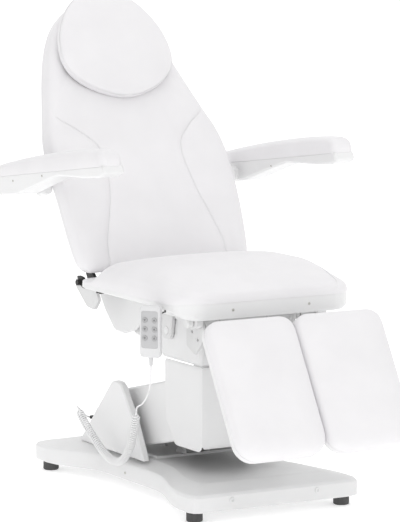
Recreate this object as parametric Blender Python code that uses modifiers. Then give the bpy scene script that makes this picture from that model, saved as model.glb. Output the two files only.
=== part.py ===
"""Electric treatment chair: parallelogram lift, tilting seat, reclining back,
two swinging and extending leg rests, folding arm rests and a corded handset.

Metres, +Z up.  The chair faces -Y, so the handset hangs on the -X side.
Every moving piece has its own object, with its origin on its joint axis.
"""
import math

import bmesh
import bpy
from mathutils import Matrix, Vector

# ---------------------------------------------------------------- dimensions
Y0 = 0.1133           # shifts the whole chair so that its box is centred on Y
GAP = 0.0003          # clearance between pieces that touch
SEG = 16              # facets of round pieces

# base
FOOT_H = 0.030
FOOT_X, FOOT_YF, FOOT_YR = 0.247, -0.500, 0.392
BASE_TOP = 0.100
WAIST_X = 0.205
CHEEK_X0, CHEEK_X1 = 0.172, 0.195

# lift linkage (y, z)
PIN_R = 0.010
ARM_LOW = (0.060, 0.200)
ARM_VEC = (-0.310, 0.0744)
LINK_OFF = (0.0345, 0.0609)
ACT_BASE = (-0.060, 0.135)
ACT_ROD = (-0.290, 0.235)
TILT_PIN = (-0.200, 0.505)

# seat, back and legs (y, z)
SEAT_X = 0.288
SEAT_YF, SEAT_YR = -0.515, 0.125
TRAY_Z0, TRAY_Z1 = 0.600, 0.617
LEG_PIN = (-0.425, 0.560)
BACK_PIN = (0.150, 0.612)
LEG_ANGLE = math.radians(59.5)
LEG_X, LEG_W = 0.146, 0.285
LEG_D0, LEG_D1 = 0.074, 0.490

# arm rests
ARM_X, ARM_W = 0.389, 0.070
ARM_PIN = (0.300, 0.893)

# handset
HS_POS = (-0.326, -0.388, 0.539)
HS_YAW = math.radians(-50.0)
HS_W, HS_T, HS_H = 0.064, 0.022, 0.150


# ---------------------------------------------------------------- helpers
def clear_scene():
    for ob in list(bpy.data.objects):
        bpy.data.objects.remove(ob, do_unlink=True)
    for me in list(bpy.data.meshes):
        bpy.data.meshes.remove(me)


clear_scene()
PARTS = bpy.data.collections.new("treatment_chair")
CUTS = bpy.data.collections.new("cutters")
bpy.context.scene.collection.children.link(PARTS)
bpy.context.scene.collection.children.link(CUTS)
MATS = {}


def material(slot, rgb, rough, metal=0.0):
    if slot in MATS:
        return MATS[slot]
    mat = bpy.data.materials.new(slot)
    mat.use_nodes = True
    bsdf = mat.node_tree.nodes["Principled BSDF"]
    bsdf.inputs["Base Color"].default_value = (*rgb, 1.0)
    bsdf.inputs["Roughness"].default_value = rough
    bsdf.inputs["Metallic"].default_value = metal
    MATS[slot] = mat
    return mat


LOOKS = {
    "upholstery": ((0.88, 0.875, 0.88), 0.48, 0.0),
    "shell": ((0.80, 0.80, 0.80), 0.35, 0.0),
    "cover": ((0.79, 0.79, 0.79), 0.38, 0.0),
    "dark_steel": ((0.05, 0.05, 0.055), 0.45, 0.6),
    "steel": ((0.55, 0.56, 0.57), 0.30, 1.0),
    "rubber": ((0.045, 0.045, 0.05), 0.75, 0.0),
    "handset_body": ((0.70, 0.71, 0.72), 0.40, 0.0),
    "handset_panel": ((0.42, 0.44, 0.46), 0.50, 0.0),
    "button": ((0.30, 0.32, 0.34), 0.55, 0.0),
    "cord": ((0.55, 0.56, 0.57), 0.55, 0.0),
    "knob": ((0.86, 0.86, 0.85), 0.35, 0.0),
    "control": ((0.20, 0.20, 0.21), 0.55, 0.0),
}


def finish(bm, name, slot, origin=(0.0, 0.0, 0.0), cutter=False):
    """Turn a bmesh in chair coordinates into an object with the given origin."""
    bmesh.ops.remove_doubles(bm, verts=bm.verts, dist=0.00001)
    bmesh.ops.recalc_face_normals(bm, faces=bm.faces)
    for vert in bm.verts:
        vert.co -= Vector(origin)
    mesh = bpy.data.meshes.new(name)
    bm.to_mesh(mesh)
    bm.free()
    ob = bpy.data.objects.new(name, mesh)
    ob.location = (origin[0], origin[1] + Y0, origin[2])
    if cutter:
        CUTS.objects.link(ob)
        ob.hide_render = True
        ob.display_type = "WIRE"
        return ob
    PARTS.objects.link(ob)
    rgb, rough, metal = LOOKS[slot]
    mesh.materials.append(material(slot, rgb, rough, metal))
    return ob


def add_box(bm, lo, hi):
    """Axis-aligned box between two corners, added to a bmesh."""
    made = bmesh.ops.create_cube(bm, size=1.0)["verts"]
    for vert in made:
        vert.co = Vector([lo[i] + (vert.co[i] + 0.5) * (hi[i] - lo[i]) for i in range(3)])
    return made


def add_rod(bm, p0, p1, radius, seg=SEG, radius2=None):
    """Round bar from p0 to p1."""
    start, end = Vector(p0), Vector(p1)
    axis = end - start
    turn = Vector((0, 0, 1)).rotation_difference(axis.normalized()).to_matrix().to_4x4()
    place = Matrix.Translation((start + end) / 2) @ turn
    return bmesh.ops.create_cone(
        bm, cap_ends=True, cap_tris=False, segments=seg, radius1=radius,
        radius2=radius if radius2 is None else radius2, depth=axis.length, matrix=place,
    )["verts"]


def add_prism(bm, profile, x0, x1):
    """Side profile of (y, z) points pushed from x0 to x1."""
    left = [bm.verts.new((x0, y, z)) for y, z in profile]
    right = [bm.verts.new((x1, y, z)) for y, z in profile]
    bm.faces.new(left)
    bm.faces.new(list(reversed(right)))
    count = len(profile)
    for i in range(count):
        j = (i + 1) % count
        bm.faces.new((left[j], left[i], right[i], right[j]))


def rounded(points, radii, steps=5):
    """Closed outline of 2-D points with each corner rounded by its radius."""
    out = []
    count = len(points)
    for i in range(count):
        here = Vector(points[i])
        back = Vector(points[i - 1]) - here
        ahead = Vector(points[(i + 1) % count]) - here
        radius = radii[i] if isinstance(radii, (list, tuple)) else radii
        half = back.angle(ahead) / 2
        if radius <= 0 or half > math.radians(89):
            out.append(tuple(here))
            continue
        reach = min(radius / math.tan(half), 0.48 * back.length, 0.48 * ahead.length)
        rad = reach * math.tan(half)
        centre = here + (back.normalized() + ahead.normalized()).normalized() * rad / math.sin(half)
        first = here + back.normalized() * reach - centre
        last = here + ahead.normalized() * reach - centre
        sweep = first.angle_signed(last)
        for k in range(steps + 1):
            turn = -sweep * k / steps
            cos, sin = math.cos(turn), math.sin(turn)
            out.append((centre.x + first.x * cos - first.y * sin,
                        centre.y + first.x * sin + first.y * cos))
    return out


def smooth(value):
    value = max(0.0, min(1.0, value))
    return value * value * (3 - 2 * value)


def pad_mesh(bm, outline, rings, place):
    """Cushion-like body: rings of (inset share, height) from base to crown.

    The outline is shrunk towards its middle by each inset share, and place()
    sends (a, b, height) to the chair's space.
    """
    mid_a = (min(p[0] for p in outline) + max(p[0] for p in outline)) / 2
    mid_b = (min(p[1] for p in outline) + max(p[1] for p in outline)) / 2
    half_a = max(p[0] for p in outline) - mid_a
    half_b = max(p[1] for p in outline) - mid_b
    loops = []
    for inset, height in rings:
        ka = 1 - inset / half_a if inset < half_a else 0.0
        kb = 1 - inset / half_b if inset < half_b else 0.0
        if inset >= 1.0:
            ka = kb = 2.0 - inset
        loops.append([
            bm.verts.new(place(mid_a + (a - mid_a) * ka, mid_b + (b - mid_b) * kb, height))
            for a, b in outline
        ])
    count = len(outline)
    for low, high in zip(loops, loops[1:]):
        for i in range(count):
            j = (i + 1) % count
            bm.faces.new((low[i], low[j], high[j], high[i]))
    for loop, height in ((loops[0], rings[0][1]), (loops[-1], rings[-1][1])):
        hub = bm.verts.new(place(mid_a, mid_b, height))
        for i in range(count):
            bm.faces.new((loop[i], loop[(i + 1) % count], hub))


def boolean(ob, tool, mode="DIFFERENCE"):
    mod = ob.modifiers.new(mode.lower() + "_" + tool.name, "BOOLEAN")
    mod.operation = mode
    mod.solver = "EXACT"
    mod.object = tool
    return mod


def bevel(ob, width, segments=2, angle=35.0):
    mod = ob.modifiers.new("bevel", "BEVEL")
    mod.width = width
    mod.segments = segments
    mod.limit_method = "ANGLE"
    mod.angle_limit = math.radians(angle)
    mod.harden_normals = False
    return mod


def cut_rod(ob, name, p0, p1, radius, seg=SEG):
    bm = bmesh.new()
    add_rod(bm, p0, p1, radius, seg)
    boolean(ob, finish(bm, name, "", cutter=True))


def join_rod(ob, name, p0, p1, radius, seg=SEG):
    bm = bmesh.new()
    add_rod(bm, p0, p1, radius, seg)
    boolean(ob, finish(bm, name, "", cutter=True), "UNION")


def join_box(ob, name, lo, hi):
    bm = bmesh.new()
    add_box(bm, lo, hi)
    boolean(ob, finish(bm, name, "", cutter=True), "UNION")


def join_prism(ob, name, profile, x0, x1):
    bm = bmesh.new()
    add_prism(bm, profile, x0, x1)
    boolean(ob, finish(bm, name, "", cutter=True), "UNION")


def cut_prism(ob, name, profile, x0, x1):
    bm = bmesh.new()
    add_prism(bm, profile, x0, x1)
    boolean(ob, finish(bm, name, "", cutter=True))


def prism_part(name, slot, profile, x0, x1, origin=(0, 0, 0)):
    bm = bmesh.new()
    add_prism(bm, profile, x0, x1)
    return finish(bm, name, slot, origin)


def box_part(name, slot, lo, hi, origin=(0, 0, 0)):
    bm = bmesh.new()
    add_box(bm, lo, hi)
    return finish(bm, name, slot, origin)


def moved(pin, vec, share=1.0):
    return (pin[0] + vec[0] * share, pin[1] + vec[1] * share)


# ---------------------------------------------------------------- base
def base_outline():
    """Plan of the base: wide at both ends and narrow at the waist."""
    right = []
    stations = 22
    y_front, y_rear = -0.552, 0.446
    for k in range(stations + 1):
        y = y_front + (y_rear - y_front) * k / stations
        flare_f = smooth((-0.18 - y) / 0.30)
        flare_r = smooth((y - 0.12) / 0.24)
        x = WAIST_X + 0.078 * flare_f + 0.080 * flare_r
        right.append((x, y))
    corner = 0.030
    right[0] = (right[0][0] - corner, y_front)
    right.insert(1, (right[0][0] + corner * 0.72, y_front + corner * 0.28))
    right.insert(2, (right[0][0] + corner, y_front + corner))
    right[-1] = (right[-1][0] - corner, y_rear)
    right.insert(-1, (right[-1][0] + corner, y_rear - corner))
    right.insert(-1, (right[-1][0] + corner * 0.72, y_rear - corner * 0.28))
    left = [(-x, y) for x, y in reversed(right)]
    return right + left


def build_base():
    z0 = FOOT_H + GAP

    def place(a, b, h):
        return (a, b, h)

    bm = bmesh.new()
    rings = [(1.5, z0), (1.05, z0), (0.004, z0), (0.0, z0 + 0.004), (0.0, z0 + 0.044),
             (0.006, z0 + 0.052), (0.020, z0 + 0.056), (0.075, BASE_TOP - 0.002),
             (0.082, BASE_TOP), (1.5, BASE_TOP)]
    pad_mesh(bm, base_outline(), rings, place)
    finish(bm, "base_cover", "cover")

    for name, x, y in (("foot_front_left", FOOT_X, FOOT_YF), ("foot_front_right", -FOOT_X, FOOT_YF),
                       ("foot_rear_left", FOOT_X, FOOT_YR), ("foot_rear_right", -FOOT_X, FOOT_YR)):
        bm = bmesh.new()
        add_rod(bm, (x, y, 0), (x, y, FOOT_H), 0.024, 16)
        foot = finish(bm, name, "rubber", (x, y, 0))
        bevel(foot, 0.003, 1)

    # side cheeks that carry the linkage
    profile = rounded([(0.305, BASE_TOP + GAP), (0.092, 0.318), (0.040, 0.318), (-0.040, 0.215),
                       (-0.105, BASE_TOP + GAP)], [0.006, 0.045, 0.040, 0.12, 0.004], 5)
    for name, side in (("cheek_right", -1), ("cheek_left", 1)):
        x0, x1 = sorted((side * CHEEK_X0, side * CHEEK_X1))
        cheek = prism_part(name, "cover", profile, x0, x1)
        bevel(cheek, 0.005, 1, 50)

    # steel frame between the cheeks: floor plate, outer uprights and pivot pins
    lo, up = ARM_LOW, moved(ARM_LOW, LINK_OFF)
    z1 = BASE_TOP + GAP
    frame = box_part("base_frame", "steel", (-0.139, -0.085, z1), (0.139, 0.135, z1 + 0.008))
    for side in (-1, 1):
        x0, x1 = sorted((side * 0.126, side * 0.136))
        join_prism(frame, "upright%d" % side,
                   [(0.010, z1 + 0.004), (0.120, z1 + 0.004), (0.095, 0.222), (0.078, 0.234),
                    (0.042, 0.234), (0.028, 0.222)], x0, x1)
        x0, x1 = sorted((side * 0.026, side * 0.036))
        join_prism(frame, "lug%d" % side,
                   [(0.050, z1 + 0.004), (0.128, z1 + 0.004), (up[0] + 0.014, up[1] + 0.008),
                    (up[0], up[1] + 0.018), (up[0] - 0.018, up[1] + 0.008), (0.040, 0.205)],
                   x0, x1)
        x0, x1 = sorted((side * 0.036, side * 0.046))
        join_prism(frame, "ear%d" % side,
                   [(-0.082, z1 + 0.004), (-0.036, z1 + 0.004), (-0.046, 0.146), (-0.060, 0.150),
                    (-0.074, 0.146)], x0, x1)
    join_rod(frame, "pin_low", (-0.139, *lo), (0.139, *lo), PIN_R)
    join_rod(frame, "pin_up", (-0.040, *up), (0.040, *up), PIN_R)
    join_rod(frame, "pin_act", (-0.050, *ACT_BASE), (0.050, *ACT_BASE), 0.008)

    # control box behind the linkage, with the handset's socket on its side
    box = prism_part("control_box", "control",
                     [(0.182, z1), (0.302, z1), (0.298, 0.150), (0.258, 0.205), (0.182, 0.205)],
                     -0.160, 0.160)
    bevel(box, 0.004, 1)


# ---------------------------------------------------------------- lift linkage
def arm_line(along, above):
    """Point in the arm's own frame: along it from the low pin, and above it."""
    length = math.hypot(*ARM_VEC)
    ay, az = ARM_VEC[0] / length, ARM_VEC[1] / length
    return (ARM_LOW[0] + ay * along + az * above, ARM_LOW[1] + az * along - ay * above)


def build_lift():
    length = math.hypot(*ARM_VEC)
    lo, front = ARM_LOW, moved(ARM_LOW, ARM_VEC)
    up = moved(ARM_LOW, LINK_OFF)
    up_front = moved(front, LINK_OFF)
    origin = (0, *lo)

    # lower arm: two side bars with round ends, tied by a cross tube
    bm = bmesh.new()
    bar = []
    for k in range(9):
        turn = math.radians(-90 + 22.5 * k)
        bar.append(arm_line(length + 0.024 * math.cos(turn), 0.024 * math.sin(turn)))
    for k in range(9):
        turn = math.radians(90 + 22.5 * k)
        bar.append(arm_line(0.026 * math.cos(turn), 0.026 * math.sin(turn)))
    add_prism(bm, bar, 0.110, 0.121)
    arm = finish(bm, "lift_arm_frame", "steel", origin)
    join_prism(arm, "arm_bar", bar, -0.121, -0.110)
    mid = arm_line(0.150, 0.0)
    join_rod(arm, "arm_tie", (-0.115, *mid), (0.115, *mid), 0.015, 16)
    cut_rod(arm, "arm_bore_low", (-0.2, *lo), (0.2, *lo), PIN_R + GAP)
    cut_rod(arm, "arm_bore_front", (-0.2, *front), (0.2, *front), PIN_R + GAP)

    # moulded cover over the arm, open below and at the rear
    outer = rounded([arm_line(-0.030, -0.086), arm_line(-0.060, 0.094),
                     arm_line(length + 0.070, 0.094), arm_line(length + 0.096, -0.010),
                     arm_line(length + 0.050, -0.090)], [0.012, 0.012, 0.05, 0.04, 0.03], 4)
    inner = rounded([arm_line(-0.090, -0.120), arm_line(-0.090, 0.089),
                     arm_line(length + 0.067, 0.089), arm_line(length + 0.091, -0.010),
                     arm_line(length + 0.040, -0.120)], [0.0, 0.0, 0.045, 0.036, 0.0], 4)
    cover = prism_part("lift_arm_cover", "cover", outer, -0.146, 0.146, origin)
    bevel(cover, 0.006, 1, 50)
    cut_prism(cover, "arm_cover_core", inner, -0.1415, 0.1415)
    cut_prism(cover, "arm_cover_slot", [
        arm_line(length - 0.100, 0.050), arm_line(length - 0.100, 0.120),
        arm_line(length + 0.150, 0.120), arm_line(length + 0.150, -0.030),
        arm_line(length + 0.075, -0.030)], -0.092, 0.092)

    # upper link
    bm = bmesh.new()
    link = []
    for k in range(7):
        turn = math.radians(-90 + 30 * k)
        y, z = arm_line(length + 0.015 * math.cos(turn), 0.015 * math.sin(turn))
        link.append((y + LINK_OFF[0], z + LINK_OFF[1]))
    for k in range(7):
        turn = math.radians(90 + 30 * k)
        y, z = arm_line(0.015 * math.cos(turn), 0.015 * math.sin(turn))
        link.append((y + LINK_OFF[0], z + LINK_OFF[1]))
    add_prism(bm, link, -0.020, 0.020)
    bar = finish(bm, "lift_link", "dark_steel", (0, *up))
    cut_rod(bar, "link_bore_rear", (-0.1, *up), (0.1, *up), PIN_R + GAP, 20)
    cut_rod(bar, "link_bore_front", (-0.1, *up_front), (0.1, *up_front), PIN_R + GAP, 20)

    # column: steel frame, front cover and moulded head with the tilt pin
    origin = (0, *front)
    frame = box_part("column_frame", "steel", (-0.082, -0.330, 0.408), (0.082, -0.165, 0.4195),
                     origin)
    for side in (-1, 1):
        x0, x1 = sorted((side * 0.062, side * 0.074))
        join_prism(frame, "column_plate%d" % side,
                   [(-0.322, 0.412), (-0.322, 0.225), (-0.300, 0.208), (-0.270, 0.215),
                    (-0.226, 0.262), (-0.196, 0.320), (-0.190, 0.412)], x0, x1)
    join_rod(frame, "column_pin_low", (-0.124, *front), (0.124, *front), PIN_R)
    join_rod(frame, "column_pin_up", (-0.070, *up_front), (0.070, *up_front), PIN_R)
    join_rod(frame, "column_pin_act", (-0.070, *ACT_ROD), (0.070, *ACT_ROD), 0.006, 16)

    outer = rounded([(-0.152, 0.4195), (-0.152, 0.240), (-0.215, 0.163), (-0.378, 0.163),
                     (-0.378, 0.4195)], [0.0, 0.05, 0.03, 0.03, 0.0], 5)
    inner = rounded([(-0.10, 0.50), (-0.10, 0.10), (-0.345, 0.10), (-0.373, 0.175),
                     (-0.373, 0.50)], [0.0, 0.0, 0.0, 0.02, 0.0], 4)
    cover = prism_part("column_cover", "cover", outer, -0.154, 0.154, origin)
    bevel(cover, 0.012, 2, 60)
    cut_prism(cover, "column_core", inner, -0.149, 0.149)

    head = prism_part("column_head", "cover", rounded(
        [(-0.378, 0.420), (-0.148, 0.420), (-0.112, 0.452), (0.022, 0.462), (0.055, 0.490),
         (0.045, 0.520), (-0.100, 0.549), (-0.378, 0.549)],
        [0.0, 0.0, 0.03, 0.015, 0.012, 0.01, 0.02, 0.01], 3), -0.158, 0.158, origin)
    bevel(head, 0.010, 1, 60)
    join_rod(head, "tilt_pin", (-0.1715, *TILT_PIN), (0.1715, *TILT_PIN), 0.012)

    # lift actuator: motor and tube on the base, rod up to the column
    base, rod = Vector((0, *ACT_BASE)), Vector((0, *ACT_ROD))
    along = (rod - base).normalized()
    square = Vector((1, 0, 0)).cross(along)
    bm = bmesh.new()
    add_rod(bm, base - along * 0.013, base + along * 0.150, 0.020)
    body = finish(bm, "lift_actuator_body", "dark_steel", tuple(base))
    bm = bmesh.new()
    add_box(bm, (-0.025, -0.024, -0.028), (0.025, 0.028, 0.030))
    turn = Matrix((Vector((1, 0, 0)), square, along)).transposed().to_4x4()
    bmesh.ops.transform(bm, verts=bm.verts, matrix=Matrix.Translation(base + along * 0.052
                                                                    + square * 0.002) @ turn)
    boolean(body, finish(bm, "actuator_motor", "", cutter=True), "UNION")
    cut_rod(body, "actuator_bore", tuple(base + Vector((-0.1, 0, 0))),
            tuple(base + Vector((0.1, 0, 0))), 0.008 + GAP, 20)
    cut_rod(body, "actuator_barrel", tuple(base + along * 0.030), tuple(base + along * 0.4),
            0.0095, 20)
    bm = bmesh.new()
    add_rod(bm, base + along * 0.100, rod - along * 0.008, 0.009, 16)
    piece = finish(bm, "lift_actuator_rod", "steel", tuple(base))
    join_rod(piece, "rod_eye", tuple(rod + Vector((-0.014, 0, 0))),
             tuple(rod + Vector((0.014, 0, 0))), 0.018, 20)
    cut_rod(piece, "rod_eye_bore", tuple(rod + Vector((-0.1, 0, 0))),
            tuple(rod + Vector((0.1, 0, 0))), 0.0135, 20)


# ---------------------------------------------------------------- seat
def seat_outline(grow=0.0):
    x = SEAT_X + grow
    return rounded([(x, SEAT_YF - grow), (x, SEAT_YR + grow), (-x, SEAT_YR + grow),
                    (-x, SEAT_YF - grow)], [0.078, 0.030, 0.030, 0.078], 6)


def densify(outline, step):
    out = []
    for i, here in enumerate(outline):
        after = outline[(i + 1) % len(outline)]
        span = math.hypot(after[0] - here[0], after[1] - here[1])
        parts = max(1, int(span / step))
        for k in range(parts):
            t = k / parts
            out.append((here[0] + (after[0] - here[0]) * t, here[1] + (after[1] - here[1]) * t))
    return out


def build_seat():
    origin = (0, *TILT_PIN)

    def tray_place(a, b, h):
        lip = smooth((-0.400 - b) / 0.10)
        low = TRAY_Z0 - 0.023 * lip
        high = TRAY_Z1 + 0.008 * lip
        return (a, b, low + (high - low) * h)

    outline = densify(seat_outline(), 0.06)
    bm = bmesh.new()
    pad_mesh(bm, outline, [(1.6, 0.0), (1.34, 0.0), (1.22, 0.0), (1.12, 0.0), (0.006, 0.0),
                           (0.0, 0.25), (0.0, 1.0), (0.006, 1.0), (1.12, 1.0), (1.22, 1.0),
                           (1.34, 1.0), (1.6, 1.0)], tray_place)
    tray = finish(bm, "seat_tray", "shell", origin)
    for side in (-1, 1):
        x0, x1 = sorted((side * 0.192, side * 0.212))
        join_prism(tray, "tray_ear%d" % side, rounded(
            [(-0.290, 0.604), (-0.450, 0.595), (-0.455, 0.552), (-0.425, 0.540), (-0.330, 0.558)],
            [0.0, 0.0, 0.014, 0.02, 0.02], 4), x0, x1)
        cut_rod(tray, "tray_ear_bore%d" % side, (x0 - 0.01, *LEG_PIN), (x1 + 0.01, *LEG_PIN),
                PIN_R + GAP)

    def cushion_place(a, b, h):
        front = smooth((-0.290 - b) / 0.225)
        rear = smooth((b + 0.010) / 0.065)
        side = smooth((abs(a) - 0.18) / 0.11)
        low = TRAY_Z1 + 0.0018 + 0.008 * smooth((-0.400 - b) / 0.10)
        tall = 0.070 + 0.021 * smooth((0.03 - b) / 0.20) - 0.050 * front
        tall -= 0.006 * side
        tall += (0.012 - tall) * rear
        return (a, b, low + tall * h)

    bm = bmesh.new()
    rings = [(1.6, 0.0), (1.34, 0.0), (1.22, 0.0), (1.12, 0.0), (0.006, 0.0), (0.0005, 0.15),
             (0.0, 0.36), (0.007, 0.62), (0.023, 0.83), (0.046, 0.95), (1.25, 1.0),
             (1.34, 1.0), (1.42, 1.0), (1.60, 1.0), (1.80, 1.0)]
    pad_mesh(bm, outline, rings, cushion_place)
    finish(bm, "seat_cushion", "upholstery", origin)

    # steel seat frame: plate, tilt lugs, leg axle and back hinge plates
    frame = box_part("seat_frame", "dark_steel", (-0.172, -0.385, 0.586), (0.172, 0.108, 0.5980),
                     origin)
    join_box(frame, "frame_rear", (-0.272, 0.045, 0.5885), (0.272, 0.108, 0.5980))
    y, z = TILT_PIN
    for side in (-1, 1):
        x0, x1 = sorted((side * 0.1605, side * 0.1705))
        join_prism(frame, "tilt_lug%d" % side, rounded(
            [(y - 0.045, 0.590), (y - 0.024, z - 0.024), (y + 0.024, z - 0.024),
             (y + 0.045, 0.590)], [0.0, 0.018, 0.018, 0.0], 4), x0, x1)
        x0, x1 = sorted((side * 0.262, side * 0.272))
        yb, zb = BACK_PIN
        join_prism(frame, "hinge_plate%d" % side, rounded(
            [(0.048, 0.596), (0.030, 0.572), (0.060, 0.540), (0.105, 0.545), (yb + 0.026, zb - 0.014),
             (yb + 0.020, zb + 0.020), (yb - 0.020, zb + 0.016), (0.129, 0.5975)],
            [0.0, 0.01, 0.015, 0.015, 0.015, 0.012, 0.01, 0.0], 3), x0, x1)
        x0, x1 = sorted((side * 0.130, side * 0.140))
        join_prism(frame, "axle_lug%d" % side,
                   [(-0.345, 0.5865), (-0.345, 0.5970), (-0.400, 0.5970), (-0.436, 0.5890),
                    (-0.440, 0.556), (-0.425, 0.545), (-0.410, 0.552), (-0.401, 0.5865)],
                   x0, x1)
    join_rod(frame, "leg_axle", (-0.226, *LEG_PIN), (0.226, *LEG_PIN), PIN_R)
    cut_rod(frame, "tilt_bore", (-0.3, y, z), (0.3, y, z), 0.012 + GAP)
    for side in (-1, 1):
        x0, x1 = sorted((side * 0.214, side * 0.282))
        join_rod(frame, "back_pin%d" % side, (x0, *BACK_PIN), (x1, *BACK_PIN), 0.009)

    # moulded skirt under the seat, round the column head
    outer = rounded([(-0.396, 0.5855), (-0.396, 0.553), (-0.120, 0.553), (-0.030, 0.482),
                     (0.040, 0.462), (0.105, 0.466), (0.165, 0.520), (0.195, 0.560),
                     (0.190, 0.5855)], [0.0, 0.006, 0.06, 0.04, 0.02, 0.03, 0.05, 0.01, 0.0], 4)
    inner = [(-0.391, 0.60), (-0.391, 0.540), (-0.150, 0.40), (0.072, 0.40), (0.072, 0.4665),
             (0.102, 0.4705), (0.158, 0.520), (0.183, 0.548), (0.183, 0.60)]
    skirt = prism_part("seat_skirt", "shell", outer, -0.181, 0.181, origin)
    bevel(skirt, 0.012, 1, 60)
    cut_prism(skirt, "skirt_core", inner, -0.1765, 0.1765)


# ---------------------------------------------------------------- back
SPINE = [(0.074, 0.645), (0.099, 0.705), (0.137, 0.785), (0.176, 0.862), (0.238, 0.964),
         (0.315, 1.067), (0.392, 1.172), (0.455, 1.265), (0.520, 1.366), (0.562, 1.434)]
SPINE_LEN = []


def spine_table():
    total = 0.0
    SPINE_LEN.append(0.0)
    for here, after in zip(SPINE, SPINE[1:]):
        total += math.hypot(after[0] - here[0], after[1] - here[1])
        SPINE_LEN.append(total)


def spine_point(s):
    """Smooth point on the back's front face at arc length s (Catmull-Rom)."""
    i = 0
    while i < len(SPINE_LEN) - 2 and s > SPINE_LEN[i + 1]:
        i += 1
    t = (s - SPINE_LEN[i]) / (SPINE_LEN[i + 1] - SPINE_LEN[i])
    p1, p2 = Vector(SPINE[i]), Vector(SPINE[i + 1])
    p0 = Vector(SPINE[i - 1]) if i > 0 else p1 * 2 - p2
    p3 = Vector(SPINE[i + 2]) if i + 2 < len(SPINE) else p2 * 2 - p1
    return (p1 * 2 + (p2 - p0) * t + (p0 * 2 - p1 * 5 + p2 * 4 - p3) * t * t
            + (p1 * 3 - p0 - p2 * 3 + p3) * t * t * t) / 2


def spine_frame(s):
    here = spine_point(s)
    step = spine_point(s + 0.01) - spine_point(s - 0.01)
    along = step.normalized()
    return here, along, Vector((-along.y, along.x))


def back_place(a, s, h):
    # the foot of the back is cut level, so its rear edge starts further up
    s -= 0.40 * h * max(0.0, 1 - s / 0.15)
    here, _, out = spine_frame(s)
    spot = here + out * h
    return (a, spot.x, spot.y)


BACK_HALF = [(0.0, 0.262), (0.02, 0.280), (0.10, 0.291), (0.22, 0.298), (0.34, 0.301),
             (0.43, 0.292), (0.50, 0.272), (0.57, 0.250), (0.64, 0.228), (0.70, 0.207),
             (0.76, 0.180), (0.81, 0.148), (0.845, 0.112), (0.868, 0.070), (0.880, 0.030)]


def build_back():
    spine_table()
    total = SPINE_LEN[-1]
    scale = total / 0.882
    right = [(w, s * scale) for s, w in BACK_HALF]
    outline = right + [(-w, s) for w, s in reversed(right)]
    outline = densify(outline, 0.05)
    origin = (0, *BACK_PIN)

    bm = bmesh.new()
    rings = [(1.85, -0.062), (1.55, -0.062), (1.25, -0.062), (1.08, -0.062), (0.006, -0.062),
             (0.0, -0.055), (0.0, -0.038), (0.004, -0.022), (0.014, -0.008), (0.032, -0.001),
             (1.25, 0.002), (1.55, 0.003), (1.85, 0.003)]
    pad_mesh(bm, outline, rings, back_place)
    finish(bm, "back_cushion", "upholstery", origin)

    bm = bmesh.new()
    rings = [(1.85, -0.088), (1.55, -0.088), (1.25, -0.087), (0.040, -0.084), (0.012, -0.078),
             (0.002, -0.072), (0.006, -0.0645), (1.08, -0.0645), (1.25, -0.0645),
             (1.55, -0.0645), (1.85, -0.0645)]
    pad_mesh(bm, outline, rings, back_place)
    finish(bm, "back_shell", "shell", origin)

    # steel carrier behind the shell, hinged to the seat frame's pins
    yb, zb = BACK_PIN
    near = [back_place(0, 0.050 + 0.05 * k, -0.0905)[1:] for k in range(6)]
    far = [back_place(0, 0.050 + 0.05 * k, -0.1015)[1:] for k in range(6)]
    low, mid, low2, mid2 = near[0], near[2], far[0], far[2]
    frame = prism_part("back_frame", "dark_steel", near + far[::-1], -0.235, 0.235, origin)
    for side in (-1, 1):
        x0, x1 = sorted((side * 0.221, side * 0.231))
        hub = [(yb + 0.020 * math.cos(math.radians(a)), zb + 0.020 * math.sin(math.radians(a)))
               for a in range(135, 316, 30)]
        join_prism(frame, "back_plate%d" % side, hub + [
            (low2[0] + 0.014, low2[1] - 0.008), (mid2[0] + 0.012, mid2[1] - 0.007),
            ((mid[0] + mid2[0]) / 2, (mid[1] + mid2[1]) / 2),
            ((low[0] + low2[0]) / 2, (low[1] + low2[1]) / 2)], x0, x1)
        cut_rod(frame, "back_bore%d" % side, (side * 0.20, yb, zb), (side * 0.25, yb, zb),
                0.009 + GAP)

    build_head(origin)
    build_arms()


def build_head(origin):
    """Neck and head pillow on a slotted plate that slides up the back."""
    lean = math.radians(32.0)
    foot = Vector((0.100, 0.673))
    up = Vector((math.sin(lean), math.cos(lean)))
    out = Vector((-math.cos(lean), math.sin(lean)))

    def place(a, v, h):
        spot = foot + up * v + out * h
        return (a, spot.x, spot.y)

    centre = place(0, 0.70, 0.0)
    half = [(0.0, 0.530), (0.035, 0.533), (0.068, 0.543), (0.100, 0.556), (0.130, 0.574),
            (0.158, 0.598), (0.178, 0.626), (0.188, 0.660), (0.188, 0.695), (0.181, 0.735),
            (0.166, 0.775), (0.143, 0.815), (0.110, 0.853), (0.078, 0.877), (0.040, 0.892),
            (0.0, 0.897)]
    outline = [(a, v) for a, v in half] + [(-a, v) for a, v in reversed(half[1:-1])]
    bm = bmesh.new()
    rings = [(1.7, 0.0245), (0.012, 0.0245), (0.003, 0.028), (0.0, 0.036), (0.0, 0.046),
             (0.005, 0.054), (0.016, 0.0605), (0.034, 0.064), (1.45, 0.066), (1.75, 0.066)]
    pad_mesh(bm, outline, rings, place)
    finish(bm, "head_cushion", "upholstery", centre)

    plate = []
    for a, v in rounded([(0.110, 0.640), (0.110, 0.810), (-0.110, 0.810), (-0.110, 0.640)],
                        0.03, 4):
        plate.append((a, v))
    bm = bmesh.new()
    pad_mesh(bm, plate, [(1.5, 0.0200), (0.0, 0.0200), (0.0, 0.0242), (1.5, 0.0242)], place)
    finish(bm, "head_plate", "steel", centre)


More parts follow.
